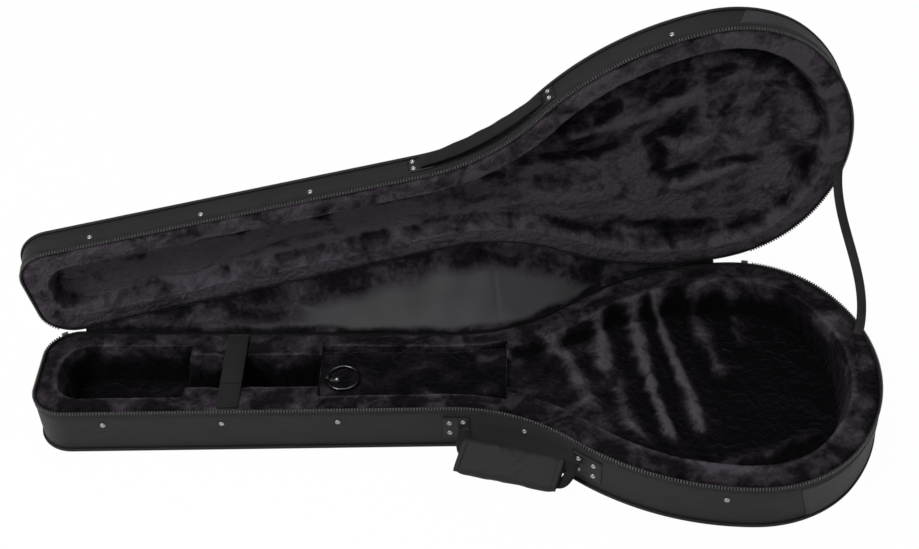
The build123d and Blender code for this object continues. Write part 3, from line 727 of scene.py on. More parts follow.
# Lines of slack plush: start, end, rise and half width. Ridges rise and creases fall.
BODY_FOLDS = (
    (222, 150, 268, -86, 9.0, 14.0), (256, 160, 300, -70, 9.5, 13.0), (312, 160, 334, 16, 8.0, 16.0),
    (362, 160, 363, 70, 5.0, 13.0), (176, 120, 190, 20, 7.0, 15.0), (118, 96, 118, 30, 5.0, 16.0),
    (308, -20, 342, -37, 2.5, 4.0), (204, -2, 228, -90, 6.0, 12.0), (324, -113, 447, -73, 6.0, 10.0),
    (148, 52, 160, -40, 5.0, 13.0), (410, 120, 420, 40, 3.0, 12.0), (240, 150, 284, -78, -8.0, 7.0),
    (286, 150, 316, -30, -8.0, 9.0), (199, 130, 236, -74, -7.0, 8.0), (340, 150, 350, 50, -6.0, 9.0),
    (148, 104, 158, 20, -5.0, 9.0), (96, 70, 100, -10, -4.0, 9.0),
)
LID_FOLDS = (
    (169, -60, 341, -82, 5.0, 10.0), (137, -30, 238, -29, -6.0, 7.0), (336, -54, 280, -28, -7.0, 9.0),
    (279, -26, 281, 34, -7.0, 10.0), (284, 36, 338, 46, -7.0, 9.0), (342, 46, 404, 43, -5.0, 8.0),
    (296, 60, 388, 54, 5.0, 9.0), (308, 3, 358, -15, 5.0, 13.0), (390, -6, 430, -22, 4.0, 11.0),
    (430, 6, 470, 86, -6.0, 14.0), (448, -85, 478, 10, 4.0, 14.0), (-302, -28, -222, -22, -6.0, 6.0),
    (-164, -24, -126, -22, -7.0, 6.0), (-73, -22, 85, -24, -5.0, 6.0), (-262, 22, -120, 18, -4.0, 6.0),
    (60, 58, 170, 96, -6.0, 8.0), (200, 104, 340, 142, -7.0, 8.0), (120, 20, 210, 62, 4.0, 14.0),
)


def folds(x, y, lines):
    """Ridges and creases of slack plush: a rounded bank along each line, faded at both ends.

    Each is rise times exp(-(distance / width)^2), where the distance is taken from the line bent
    by a sine, and the fade eases in over 30 mm.
    """
    total = np.zeros_like(x)
    for x0, y0, x1, y1, rise, width in lines:
        length = math.hypot(x1 - x0, y1 - y0)
        along = ((x - x0) * (x1 - x0) + (y - y0) * (y1 - y0)) / length
        bend = 5.0 * np.sin(along / length * math.pi * 1.3 + x0) + 1.6 * ripple(x, y, 30, 29)
        off = ((x - x0) * (y1 - y0) - (y - y0) * (x1 - x0)) / length + bend
        fade = eased(along / 30 + 0.5) * eased((length - along) / 30 + 0.5)
        total = total + rise * np.exp(-((off / width) ** 2)) * fade
    return total


def smoothed(a, reach):
    """A running mean over reach cells each way along both axes, twice over."""
    kernel = np.ones(2 * reach + 1) / (2 * reach + 1)
    for axis in (0, 1, 0, 1):
        padding = [(reach, reach) if k == axis else (0, 0) for k in (0, 1)]
        wide = np.pad(a, padding, mode="edge")
        a = np.apply_along_axis(np.convolve, axis, wide, kernel, "valid")
    return a


def clumps(x, y, seed):
    """Tufts of pile from 0 to about 1: rounded tops with narrow creases between them."""
    broad, fine = ripple(x, y, 19, seed), ripple(x, y, 10, seed + 1)
    return 1 - 0.65 * np.exp(-((broad / 0.22) ** 2)) - 0.35 * np.exp(-((fine / 0.25) ** 2))


def base_plush(x, y):
    """Depth of the base's plush below the rim, and its pile's painted light and shade.

    A puffed rim has pockets sunk into it, and slack ridges cross the body's floor and climb its
    far wall. Ridges carry painted highlights, and painted shade makes the pile darker the deeper
    it lies and darkest at the deep tail end.
    """
    d = distance_inside(x, y)
    puff = 1.2 * eased((d - 1.4) / 9) + 0.5 * ripple(x, y, 46, 21) + 0.9 * clumps(x, y, 22)
    pressed = np.exp(-(((x - STRAP_X) / 21) ** 6))
    rim = RIM_PLUSH + puff * (1 - pressed)
    rim = rim - 2.2 * np.exp(-(d - 1.4) / 2.6)
    unevenness = 1.2 * ripple(x, y, 60, 23) + 1.2 * clumps(x, y, 24)
    well = np.minimum(rounded_head(HEAD_INSET, x, y, d), WELL_END - x)
    channel = np.minimum(24 - np.abs(y), between(x, *CHANNEL))
    recess = np.minimum(d - NECK_INSET, between(x, *RECESS))
    compartment = np.minimum(d - NECK_INSET, between(x, *COMPARTMENT))
    way = np.minimum(25 - np.abs(y), between(x, 40, 92))
    body = np.minimum(d - BODY_INSET, x - BODY_START)
    ridges = folds(x, y, BODY_FOLDS)
    down = np.clip((x - RAMP[0]) / (RAMP[1] - RAMP[0]), 0, 1)
    ramp = RAMP_TOP + (RAMP_FOOT - RAMP_TOP) * down
    floor = ramp + np.maximum(ridges, 0) * eased((body - 2) / 14) + unevenness
    floor = floor + 5.5 * np.exp(-(np.maximum(body, 0) / 13.0)) * eased((x - 150) / 80)
    wrinkle = 1 + 0.16 * ripple(x, y * 0.5, 34, 27)
    deepest = np.maximum(well, channel)
    height = sunk(rim, WELL_FLOOR + unevenness * 0.8, deepest, -4.0, 11.0 * wrinkle)
    height = sunk(height, LEDGE, recess, -2.8, 4.2)
    height = sunk(height, POCKET_FLOOR + unevenness * 0.8, compartment, -0.6, 8.4)
    height = sunk(height, WAY_LEVEL, way, -4.0, 8.0)
    height = sunk(height, floor, body, -4.0, 13.0 * wrinkle + 1.3 * np.maximum(ridges, 0))
    # Painted shadow over the deep tail end of the body.
    deep_end_shadow = eased(1.25 - np.hypot((x - 404) / 92, (y - 2) / 140)) * eased((body + 6) / 18)
    # Painted highlights on ridges, painted shade in creases and the tail's shadow; below, painted shade
    # darkens the pile the deeper it lies.
    shade = ridges * 0.12 * eased((body + 10) / 12) - 1.3 * deep_end_shadow
    return RIM - height, shade - 0.62 * eased((RIM - height - 9) / 44)


def lid_plush(x, y):
    """Depth of the lid's plush below its rim, and its pile's painted light and shade.

    A puffed rim surrounds one shallow cavity with slack ridges and creases. Painted shade darkens
    the pile under the front's lip and in patches near it.
    """
    d = distance_inside(x, y)
    rim = 1.3 - 1.0 * eased((d - 1.4) / 8) + 0.4 * ripple(x, y, 44, 31) - 0.9 * clumps(x, y, 32)
    rim = rim + 2.0 * np.exp(-(d - 1.4) / 2.6)
    rim = rim + 1.2 * np.exp(-(((x - STRAP_X) / 19) ** 6)) * eased((d - 3) / 4)
    cavity = rounded_head(LID_INSET, x, y, d)
    ridges = folds(x, y, LID_FOLDS)
    creases = 1.8 * ripple(x, y * 0.6, 95, 33) - 1.4 * clumps(x, y, 34) + 1.0
    floor = LID_FLOOR + creases - ridges - 2.5 * np.exp(-(np.maximum(cavity, 0) / 12.0))
    floor = np.minimum(floor, 26.4 + 0.4 * ripple(x, y, 24, 37))
    depth = -sunk(-rim, -floor, cavity, -4.5, 12.0 * (1 + 0.16 * ripple(x, y, 38, 36)))
    inside = eased((cavity + 2) / 10)
    # Painted shade under the front's lip.
    lip = np.exp(-np.maximum(cavity - 8, 0) / 30.0) * eased(-y / 40) * eased((x - 90) / 90)
    neck = eased((60 - x) / 160)
    # Painted light: the lid's pile is lighter than the base's, and lighter towards the hinge side.
    tone = 0.8 + 0.24 * eased((y + 20) / 60)
    # Patches of painted shade near the front; below, the pile also darkens in random patches.
    front_shade_patches = eased((ripple(x, y, 48, 38) - 0.05) / 0.5) * eased((10 - y) / 70)
    tone = tone - 0.3 * eased((ripple(x, y, 25, 39) - 0.1) / 0.4) - 0.6 * inside * front_shade_patches
    # Painted highlights on ridges, painted shade in creases and under the front's lip; lighter inside
    # the neck.
    return depth, tone + inside * (ridges * 0.14 - 1.0 * lip + 0.5 * neck)


def plush_skin(name, half, surface, columns, rows):
    """Plush as one skin over the fitted grid, with a hem turned down all round.

    The pile's shade is painted light and shade: painted highlights on rolls and lips, where the skin
    stands above its own running mean, and painted shade on walls and in hollows.
    """
    steep = ((-171.0, -164.0), (-160.0, -152.0), (60.0, 66.5)) if half == "base" else ()
    x, y = fitted_grid(1.6, columns, rows, steep)
    depth, tone = surface(x, y)
    rise, lean = np.gradient(depth, axis=0), np.gradient(depth, axis=1)
    run, side = np.gradient(x, axis=0), np.gradient(y, axis=1)
    slope = np.hypot(rise / np.maximum(run, 0.3), lean / np.maximum(side, 0.3))
    relief = smoothed(depth, columns // 90) - depth
    # Painted highlights on raised places, painted shade in hollows and on steep walls.
    shade = 1.0 + tone + 0.11 * np.clip(relief, -6, 5) - 0.5 * eased(slope / 1.6)
    x, y, depth = hemmed(x, y, depth, 3.0)
    return grid(name, place(half, x, y, depth), half, "plush", PLUSH, flip=half == "lid",
                pattern=stacked(x, y), levels={"shade": np.pad(shade, 1, mode="edge")})


columns, rows = ((500, 178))
lining = plush_skin("base_plush", "base", base_plush, columns, rows)
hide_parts("base_plush_rim", "head_well_lining", "compartment_lining",
            "body_cavity_lining")
lining = plush_skin("lid_plush", "lid", lid_plush, columns, rows)
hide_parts("lid_plush_rim", "lid_cavity_lining")


# Covers, piping and tail patches
whole = np.linspace(0, ROUND, 520, endpoint=False)
panel_names = {"base": ("base_bottom", "base_bottom_cover"), "lid": ("lid_top", "lid_top_cover")}
PATCH_START = {"base": 404.0, "lid": 392.0}
PATCH_TOP, PATCH_FOOT, PATCH_SLANT = 11.6, 6.1, 12.0


def patch_end(half, depth):
    """Where the tail patch's slanted end lies on X at a depth."""
    share = (depth - PATCH_TOP) / (DEPTHS[half] - PATCH_FOOT - PATCH_TOP)
    return PATCH_START[half] + PATCH_SLANT * share


for half, deep in DEPTHS.items():
    side = carried(f"{half}_side", half, band(0.3, deep - 1.7, -1.3, 0.0, 22, 0.5), whole,
                   "nylon", NYLON, closed=True)
    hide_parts(f"{half}_side_cover")

    x, y = fitted_grid(0.4, 150, 48)
    d = distance_inside(x, y)
    crown = 0.0 if half == "base" else 2.4
    level = deep + crown * eased(d / 70) + (0 if half == "base" else 0.3) * ripple(x, y, 90, 41)
    x, y, level = hemmed(x, y, level, -1.2)
    name, node = panel_names[half]
    panel = grid(name, place(half, x, y, level), half, "nylon", NYLON, flip=half == "base",
                 pattern=stacked(x, y))
    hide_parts(node)

    cord_edge = carried(f"{half}_piping", half, oval(1.35, deep - 3.3, 1.35, 2.4), whole,
                        "piping", PIPING, closed=True)
    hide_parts("base_bottom_piping" if half == "base" else "lid_top_piping")

    out, depth = band(PATCH_TOP, deep - PATCH_FOOT, 0.2, 1.05, 16, 0.4).T
    s = np.linspace(-1, 1, 150)[:, None] * at_x(patch_end(half, depth), 1)
    patch = tube(f"{half}_tail_nylon", wall(half, s, out, depth), half, "nylon", PATCH,
                 flip=half == "lid")
    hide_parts(f"{half}_tail_patch")

# Zipper halves and the hinge side's tapes
zip_start, zip_end = at_x(ZIP_ENDS[0], 1), ROUND + at_x(ZIP_ENDS[1], 1)
zip_run = np.linspace(zip_start, zip_end, 480)
tape_runs = {label: np.linspace(*at_x(ends, 1), 60) for label, ends in TAPE_ENDS.items()}
TOOTH_PITCH = 3.6
for half in DEPTHS:
    tape = carried(f"{half}_zip_tape", half, band(2.8, 11.0, 0.25, 1.15, 5), zip_run,
                   "zipper_tape", TAPE)
    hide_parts(f"{half}_zipper_tape")

    middle = np.arange(zip_start + 1, zip_end - 1, TOOTH_PITCH)[:, None]
    s = middle + np.array([[-0.95, 0.95, 0.95, -0.95, -0.75, 0.75, 0.75, -0.75]])
    depth = np.array([[0.2, 0.2, 3.6, 3.6, 0.35, 0.35, 3.3, 3.3]])
    out = np.array([[0.2, 0.2, 0.2, 0.2, 2.1, 2.1, 1.8, 1.8]])
    teeth_points = wall(half, s, out, depth).reshape(-1, 3)
    block = np.array([(0, 3, 2, 1), (4, 5, 6, 7), (0, 1, 5, 4), (1, 2, 6, 5), (2, 3, 7, 6),
                      (3, 0, 4, 7)])
    if half == "lid":
        block = block[:, ::-1]
    teeth = build(f"{half}_zip_teeth", teeth_points, copies(block, 8, len(middle)), half,
                  "zipper_teeth", TEETH, smooth=False, pattern=teeth_points[:, :2])
    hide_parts(f"{half}_zipper_teeth")

    for label, run in tape_runs.items():
        hinge_tape = carried(f"{half}_hinge_tape_{label}", half, band(1.8, 15.8, 0.25, 1.15, 6),
                             run, "hinge_cloth", HINGE_TAPE)
        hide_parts(f"{half}_hinge_tape")


# Gusset: plain cloth between the two rims along the waist, sewn from two lengths
def gusset_cloth():
    """Cloth from the base's rim to the lid's: straight lines between them, with a soft belly.

    Row by row it starts as plush on the base's rim, crosses along the chord and ends on the lid's
    rim. The belly is a sine across the chord, deeper where the chord is longer, and the plush
    eases off towards the plain cloth in the middle.
    """
    s = np.linspace(*at_x(GUSSET_ENDS, 1), 320)[:, None]
    s, v = np.broadcast_arrays(s, np.linspace(0, 1, 56))
    low, high = (wall(half, s, 1.0, 0.2) for half in DEPTHS)
    low_lip, high_lip = (wall(half, s, -2.2, 0.1) for half in DEPTHS)
    chord = high - low
    long = np.linalg.norm(chord, axis=-1, keepdims=True)
    t = np.clip((v - 0.06) / 0.88, 0, 1)[..., None]
    points = low + chord * t
    start, end = np.clip(v / 0.06, 0, 1)[..., None], np.clip((v - 0.94) / 0.06, 0, 1)[..., None]
    points = points + (low_lip - low) * (1 - start) + (high_lip - high) * end
    side = np.cross(chord / np.maximum(long, 1e-6), HINGE)
    wave = 0.030 + 0.024 * ripple(s, 0 * s, 120, 51) + 0.012 * ripple(s, v * 60, 40, 52)
    belly = np.sin(math.pi * t) * wave[..., None] * long
    seam = np.exp(-(((s - at_x(SEAM_X, 1)) / 2.4) ** 2))[..., None]
    belly = belly + 1.3 * seam * np.sin(math.pi * t)
    pattern = stacked(s, v * 100)
    reach = v * long[..., 0]
    x = edge_at(s)[0][..., 0]
    from_lid = eased((reach - long[..., 0] + 44 + 4 * ripple(s, 0 * s, 60, 53)) / 22)
    from_base = eased((15 + 3 * ripple(s, 0 * s, 50, 54) - reach) / 11)
    from_head = eased((-150 - x) / 90) * eased((reach - 6) / 30 + 0.4)
    pile = np.maximum.reduce([from_lid, from_base, from_head])
    rolls = (2.0 + 1.3 * clumps(s, reach, 55)) * np.sin(math.pi * t[..., 0])
    points = points + side * belly
    facing = -np.sign(side @ BEHIND)[..., None]
    # Painted shade: the pile darkens within 9 mm of the base's rim, where the cloth meets it; the
    # ripple varies it at random.
    shade = 0.95 + 0.3 * ripple(s, reach, 60, 56) - 0.5 * eased((9 - reach) / 9)
    return points + side * facing * (pile * rolls)[..., None], pattern, pile, shade, low, high


points, pattern, pile, shade, low, high = gusset_cloth()
gusset = grid("gusset", points, None, "hinge_cloth", CLOTH, pattern=pattern,
              levels={"shade": shade, "pile": pile})
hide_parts("hinge_gusset")
slants = np.cross(points[1:, :-1] - points[:-1, :-1], points[:-1, 1:] - points[:-1, :-1])
widths = np.linalg.norm(np.diff(points, axis=1), axis=-1).sum(1)
deepest = int(np.argmax(widths))
chord = (high - low)[deepest, 0]
middle = (high + low)[deepest, 0] / 2
tuple((middle - chord * 0.3) / 1000)
tuple((middle + chord * 0.3) / 1000)
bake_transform(gusset)
shell = gusset.modifiers.new("cloth", "SOLIDIFY")
shell.thickness = 0.0006
shell.offset = 0.0


# Rivets, anchors and handles
RIVET_RADIUS, RIVET_HEIGHT = 3.4, 1.5
RIVET_SIDE = np.array([(1.0, 0.0), (0.97, 0.45), (0.85, 0.85), (0.68, 1.0), (0.5, 0.86),
                       (0.38, 0.4), (0.36, 0.1), (0.0, 0.1)])


def rivet_heads(name, half, places, stand):
    """Hollow rivet heads: a rolled rim round a sunk middle, set square to the wall."""
    x, depth = np.array(places, float).T
    s = at_x(x, -1)[:, None, None]
    share, lift = RIVET_SIDE.T[:, None, :, None]
    b = np.linspace(0, 2 * math.pi, 18, endpoint=False)
    across = RIVET_RADIUS * share * np.cos(b)
    down = RIVET_RADIUS * share * np.sin(b)
    rings = wall(half, s + across, stand + RIVET_HEIGHT * lift, depth[:, None, None] + down)
    count, tall, around = rings.shape[:3]
    points = rings.reshape(-1, 3)
    order = [1, 2, 3, 0] if half == "base" else [0, 3, 2, 1]
    faces = quads(tall, around, (False, True))[:, order]
    return build(name, points, copies(faces, tall * around, count), half, "rivet", RIVET,
                 pattern=points[:, :2])


rivet_places = {
    "base_side_rivets": ("base", [(x, 23.0) for x in (-433, -286, -143, 86, 319)], 0.2),
    "lid_side_rivets": ("lid", [(x, 15.2) for x in (-423, -283, -146, 313)], 0.2),
    "base_handle_rivets": ("base", [(-6, 43), (-6, 26), (11, 24), (151, 26), (168, 26), (151, 44),
                                    (168, 44)], 1.9),
    "lid_handle_rivets": ("lid", [(-16.5, 17.5), (-16.5, 29.5), (162.5, 17.5), (162.5, 29.5)], 1.9),
}
for node, (half, places, stand) in rivet_places.items():
    heads = rivet_heads(node.replace("rivets", "rivet_heads"), half, places, stand)
    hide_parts(node)

ANCHOR_REACH = 17
anchor_places = {"base": ((2.0, 160.0), PIVOT_DEPTH, 36.0),
                 "lid": ((-6.0, 152.0), LID_HANDLE_DEPTH, 23.0)}
for half, (places, depth, tall) in anchor_places.items():
    for label, x in zip(("left", "right"), places):
        s = np.linspace(at_x(x - ANCHOR_REACH, -1), at_x(x + ANCHOR_REACH, -1), 26)[:, None]
        out, down = band(depth - tall / 2, depth + tall / 2, 0.2, 1.9, 12, 0.8).T
        along = np.abs(np.linspace(-ANCHOR_REACH, ANCHOR_REACH, 26))[:, None]
        ease = np.minimum(1, (ANCHOR_REACH + 0.2 - along) / 1.5)
        patch = tube(f"{half}_anchor_{label}", wall(half, s, 0.2 + (out - 0.2) * ease, down), half,
                     "anchor_patch", ANCHOR, flip=half == "lid")
        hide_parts(f"{half}_handle_anchors")

s = np.linspace(at_x(-8.0, -1), at_x(154.0, -1), 90)[:, None]
out, depth = band(LID_HANDLE_DEPTH - 9, LID_HANDLE_DEPTH + 9, 2.2, 4.4, 8, 0.8).T
slack = 7.0 * np.sin(math.pi * np.linspace(0, 1, 90)[:, None]) ** 0.6
slack = slack + 0.5 * ripple(s, depth, 30, 57) * slack / 7
spread = 1 + 0.25 * slack / 7
depth = LID_HANDLE_DEPTH + (depth - LID_HANDLE_DEPTH) * spread
lid_webbing = tube("lid_webbing", wall("lid", s, out + slack, depth), "lid_handle", "webbing",
                   WEBBING, flip=True)
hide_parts("lid_handle_webbing")


def pivot(x):
    """The handle's pivot at a place on X, off the straight line of the front wall."""
    point, way = edge_at(at_x(x, -1))
    return np.array([*(point + way * PIVOT_OUT), RIM - PIVOT_DEPTH])


left, right = (pivot(x) for x in PIVOTS)
handle_along = unit(right - left)
handle_span = np.linalg.norm(right - left)
handle_out = np.cross(handle_along, [0, 0, 1])
handle_down = handle_out * math.cos(HANG) - np.array([0, 0, math.sin(HANG)])
handle_face = np.cross(handle_down, handle_along)
handle_middle = (left + right) / 2


def in_handle(a, b, c=0.0):
    """Points in the handle's own plane: along it, out from its pivots, and off its face."""
    a, b, c = (np.asarray(v, float)[..., None] for v in np.broadcast_arrays(a, b, c))
    return handle_middle + handle_along * a + handle_down * b + handle_face * c


reach = handle_span / 2
bend = np.linspace(0, 1, 24)
left_a, left_b = 15.0 * bend**2 - reach, 0.4 + 28.6 * np.sin(bend * math.pi / 2)
straight = np.linspace(17 - reach, reach - 17, 50)
a = np.concatenate([left_a, straight, -left_a[::-1] - 3.5 * bend])
b = np.concatenate([left_b, np.full(50, 29.0), left_b[::-1]])
path = in_handle(a, b)
flat = np.gradient(stacked(a, b), axis=0)
across = handle_along * flat[:, 1:2] - handle_down * flat[:, :1]
loop = strap("handle_webbing", path, across, 13.0, 1.6, "carrying_handle", "webbing", WEBBING)
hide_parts("base_handle_webbing")


def places_of(mesh):
    """A mesh's points as rows."""
    flat = np.zeros(len(mesh.vertices) * 3)
    mesh.vertices.foreach_get("co", flat)
    return flat.reshape(-1, 3)


def puffed(piece, along, down, voxel, cap, pressure):
    """Cloth pressed out from inside: remeshed, simulated without gravity, moved by cap at most.

    Its cloth map is made anew from the distances along two directions.
    """
    bpy.context.view_layer.objects.active = piece
    remesh = piece.modifiers.new("even", "REMESH")
    remesh.mode = "VOXEL"
    remesh.voxel_size = voxel
    finish = piece.data.materials[0]
    graph = bpy.context.evaluated_depsgraph_get()
    even = bpy.data.meshes.new_from_object(piece.evaluated_get(graph))
    piece.modifiers.clear()
    even.materials.clear()
    even.materials.append(finish)
    rest = places_of(even)
    piece.data = even
    cloth = piece.modifiers.new("cloth", "CLOTH")
    cloth.settings.use_pressure = True
    cloth.settings.uniform_pressure_force = pressure
    cloth.settings.effector_weights.gravity = 0.0
    cloth.settings.quality = 6
    cloth.settings.tension_stiffness = 12
    for step in range(1, 21):
        bpy.context.scene.frame_set(step)
    graph = bpy.context.evaluated_depsgraph_get()
    shift = places_of(piece.evaluated_get(graph).data) - rest
    piece.modifiers.clear()
    size = np.linalg.norm(shift, axis=1, keepdims=True)
    places = rest + shift * np.minimum(1.0, cap / np.maximum(size, 1e-9))
    even.vertices.foreach_set("co", places.astype(np.float32).ravel())
    even.polygons.foreach_set("use_smooth", [True] * len(even.polygons))
    cloth_map(even, places @ np.stack([along, down], 1))
    even.update()
    smooth = piece.modifiers.new("smooth", "SUBSURF")
    smooth.levels = smooth.render_levels = 1
    bpy.context.scene.frame_set(1)


def flat_pad(count_a, count_b, half_a, half_b, half_c, power, corner):
    """A flat pad: a rectangle a by b with rounded corners, whose thickness eases to its edge.

    Its half thickness is half_c (1 - |u|^p)^(1/p) (1 - |v|^p)^(1/p), and each edge draws in by
    corner at its ends.
    """
    u = np.sin(np.linspace(-1, 1, count_a) * math.pi / 2)[:, None]
    v = np.sin(np.linspace(-1, 1, count_b) * math.pi / 2)[None]
    thick = (1 - np.abs(u) ** power) ** (1 / power) * (1 - np.abs(v) ** power) ** (1 / power)
    a = u * (half_a - corner * v**6)
    b = v * (half_b - corner * u**12)
    return a, b, half_c * thick


def closed_pad(name, to_world, pad, body, slot, finish, **more):
    """Both faces of a flat pad as one closed piece; the edge points are shared."""
    a, b, c = pad
    rows, columns = a.shape
    top, bottom = to_world(a, b, c), to_world(a, b, -c)
    ids = np.arange(rows * columns).reshape(rows, columns)
    under = ids + rows * columns
    under[[0, -1]] = ids[[0, -1]]
    under[:, [0, -1]] = ids[:, [0, -1]]
    faces = []
    for sheet, way in ((ids, 1), (under, -1)):
        faces += sheet.ravel()[quads(rows, columns)[:, ::way]].tolist()
    points = np.concatenate([top.reshape(-1, 3), bottom.reshape(-1, 3)])
    pattern = np.concatenate([stacked(a, b).reshape(-1, 2)] * 2)
    return build(name, points, faces, body, slot, finish, pattern=pattern, **more)


grip_half = (handle_span - 17.0) / 2


def grip_place(a, b, c):
    """The grip's own coordinates in the handle: a little along it and tilted, drooping between."""
    sag = 1.2 * (a / grip_half) ** 2 - 0.6 + 0.5 * ripple(a, b, 26, 71) + 0.2 * ripple(a, b, 12, 72)
    hem = 0.4 * ripple(a, 0 * a, 40, 73) * eased(b / 18)
    return in_handle(a - 4.0, 26.0 + b - 0.1 * a + hem, c - sag)


def flap_rise(a, b):
    """How far the flap stands off the handle's plane: flat, eased at its edges, with wrinkles.

    Three slack folds fan out from its upper edge.
    """
    u, v = a / grip_half, b / 21.0
    rise = 8.6 - 3.2 * np.abs(v) ** 6 - 1.4 * np.abs(u) ** 10
    for foot, lean in ((-20.0, 0.9), (2.0, -0.5), (24.0, -1.1)):
        off = a - foot - lean * (b + 20)
        rise = rise + 1.0 * np.exp(-((off / 3.2) ** 2)) * eased((14 - b) / 30)
    return rise + 0.5 * ripple(a, b * 0.6, 34, 74) + 0.2 * ripple(a, b, 11, 75)


grip_pad = flat_pad(110, 44, half_a=grip_half, half_b=23.0, half_c=5.4, power=5.0, corner=3.2)
grip = closed_pad("grip", grip_place, grip_pad, "carrying_handle", "grip", GRIP)
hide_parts("base_handle_grip")
puffed(grip, handle_along, handle_down, voxel=0.0022, cap=0.0018, pressure=3.0)

a, b = np.broadcast_arrays(np.linspace(0.8 - grip_half, grip_half - 0.8, 110)[:, None],
                           np.linspace(-21.0, 21.0, 40))
flap = grid("grip_flap", grip_place(a, b, flap_rise(a, b)), "carrying_handle", "grip", GRIP,
            flip=True, pattern=stacked(a, b))
folded = flap.modifiers.new("cloth", "SOLIDIFY")
folded.thickness = 0.0011
folded.offset = -1.0
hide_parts("grip_closure_strip")
for label, side in (("left", -1), ("right", 1)):
    b = np.linspace(-20.6, 20.6, 40)
    a = side * (grip_half - 4.4) + 0 * b
    strap(f"grip_binding_{label}", grip_place(a, b, flap_rise(a, b) + 0.5), handle_along, 6.5, 0.9,
          "carrying_handle", "grip", GRIP)

# Stitching along tapes, patches and anchors
for half, deep in DEPTHS.items():
    rows = [wall_row(half, zip_run, 1.15, 9.6)]
    for run in tape_runs.values():
        rows += [wall_row(half, run, 1.15, d) for d in (3.4, 14.2)]
    depth = np.linspace(PATCH_TOP + 1.0, deep - 7.2, 20)
    lean = at_x(patch_end(half, depth) + 2.6, 1)
    rows += [wall_row(half, side * lean, 1.05, depth) for side in (1, -1)]
    start = at_x(PATCH_START[half] + 4, 1)
    rows.append(wall_row(half, np.linspace(start, -start, 160), 1.05, 13.4))
    places, middle, tall = anchor_places[half]
    for x in places:
        across = np.linspace(at_x(x - 15, -1), at_x(x + 15, -1), 20)
        rows += [wall_row(half, across, 1.85, middle + k * (tall / 2 - 2)) for k in (-1, 1)]
        down = np.linspace(middle - tall / 2 + 2, middle + tall / 2 - 2, 12)
        rows += [wall_row(half, at_x(x + k, -1) + 0 * down, 1.85, down) for k in (-15, 15)]
    stitches(f"{half}_stitching", rows, half)

rows = []
for b in (-18.6, 18.4):
    a = np.linspace(9 - grip_half, grip_half - 9, 80)
    here = grip_place(a, b + 0 * a, flap_rise(a, b))
    rows.append((here, np.broadcast_to(handle_face, here.shape)))
for a in (7.0 - grip_half, 2.0 - grip_half, grip_half - 7.0, grip_half - 2.0):
    b = np.linspace(-19, 19, 40)
    here = grip_place(a + 0 * b, b, flap_rise(a, b) + 0.9)
    rows.append((here, np.broadcast_to(handle_face, here.shape)))
stitches("grip_stitching", rows, "carrying_handle", size=(2.3, 0.6, 0.25))

# Neck strap
y = np.linspace(-62, 0, 40)
level = 69.0 - 0.4 * eased((y + 24) / 24)
front = strap("neck_strap_sewn", stacked(STRAP_X, y, level), (1, 0, 0), STRAP_WIDTH, 1.2, "base",
              "webbing", WEBBING)
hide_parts("neck_strap_front")
y = np.linspace(-22, 62, 56)
sag = -0.5 * np.sin(np.clip((24 - y) / 46, 0, 1) * math.pi)
free = strap("neck_strap_free", stacked(STRAP_X, y, 70.2 + sag), (1, 0, 0), STRAP_WIDTH, 1.2,
             "neck_strap", "webbing", WEBBING)
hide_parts("neck_strap_back")

# Compartment lid: a plush pad on its board, with a pull tab and ring
u = np.linspace(-1, 1, 110)[:, None]
v = np.linspace(-1, 1, 46)
x = (PAD[0] + PAD[1]) / 2 + (PAD[1] - PAD[0]) / 2 * np.sin(u * math.pi / 2)
y = np.minimum(half_width(x, PAD_INSET), PAD_REACH) * v
x = x + 0 * v
thick = (1 - np.abs(u) ** 24) ** (1 / 3) * (1 - np.abs(v) ** 5) ** (1 / 5)
crown = 3.0 * thick + (0.5 * ripple(x, y, 34, 61) + 1.0 * clumps(x, y, 62)) * thick
pad = (x, y, np.maximum(crown, 0.0))
# The pad's pile is darker than the rim's, lighter towards the head end and at random, and lighter on
# its rolled edge, a painted highlight.
pad_tone_and_edge_light = 0.35 + 0.35 * eased((-100 - x) / 60) + 0.35 * (1 - thick) + 0.35 * ripple(x, y, 45, 63)


def pad_place(x, y, c):
    """The pad on its board: crowned above, flat below, its edge drawn down over the board's."""
    skirt = 5.4 * (1 - thick) ** 3
    return stacked(x, y, PAD_LEVEL - skirt + np.maximum(c, -2.3))


compartment_pad = closed_pad("compartment_pad", pad_place, pad, "compartment_lid", "plush", PLUSH,
                             levels={"shade": np.concatenate([pad_tone_and_edge_light, pad_tone_and_edge_light])})
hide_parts("compartment_lid_plush")

z = np.linspace(54.6, 64.2, 12)
hinge_strip = strap("compartment_hinge_plush", stacked(63.7, 0, z), (0, 1, 0), 47.0, 0.7, "base",
                    "plush", WEBBING)
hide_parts("compartment_hinge_strip")

wire_x, wire_y, wire_z = -158.5, -12.0, 67.9
a = np.linspace(0.25, 2 * math.pi - 0.75, 40)
loop_x = np.concatenate([wire_x + 2.6 * np.cos(a), wire_x + np.linspace(4.2, 15.0, 12)])
loop_z = np.concatenate([wire_z + 2.6 * np.sin(a), np.full(12, 65.5)])
tab = strap("pull_tab", stacked(loop_x, wire_y, loop_z), (0, 1, 0), 8.0, 0.8, "compartment_lid",
            "anchor_patch", ANCHOR, 0.25)
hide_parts("compartment_pull_tab")

a = np.linspace(0, math.pi / 2, 6)[:, None]
b = np.linspace(0, 2 * math.pi, 20, endpoint=False)
dome = stacked(wire_x + 11.5 + 2.4 * np.cos(a) * np.cos(b), wire_y + 2.4 * np.cos(a) * np.sin(b),
               66.1 + 1.3 * np.sin(a))
stud = grid("pull_stud", dome, "compartment_lid", "rivet", RIVET, closed=(False, True), flip=True)
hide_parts("compartment_pull_rivet")

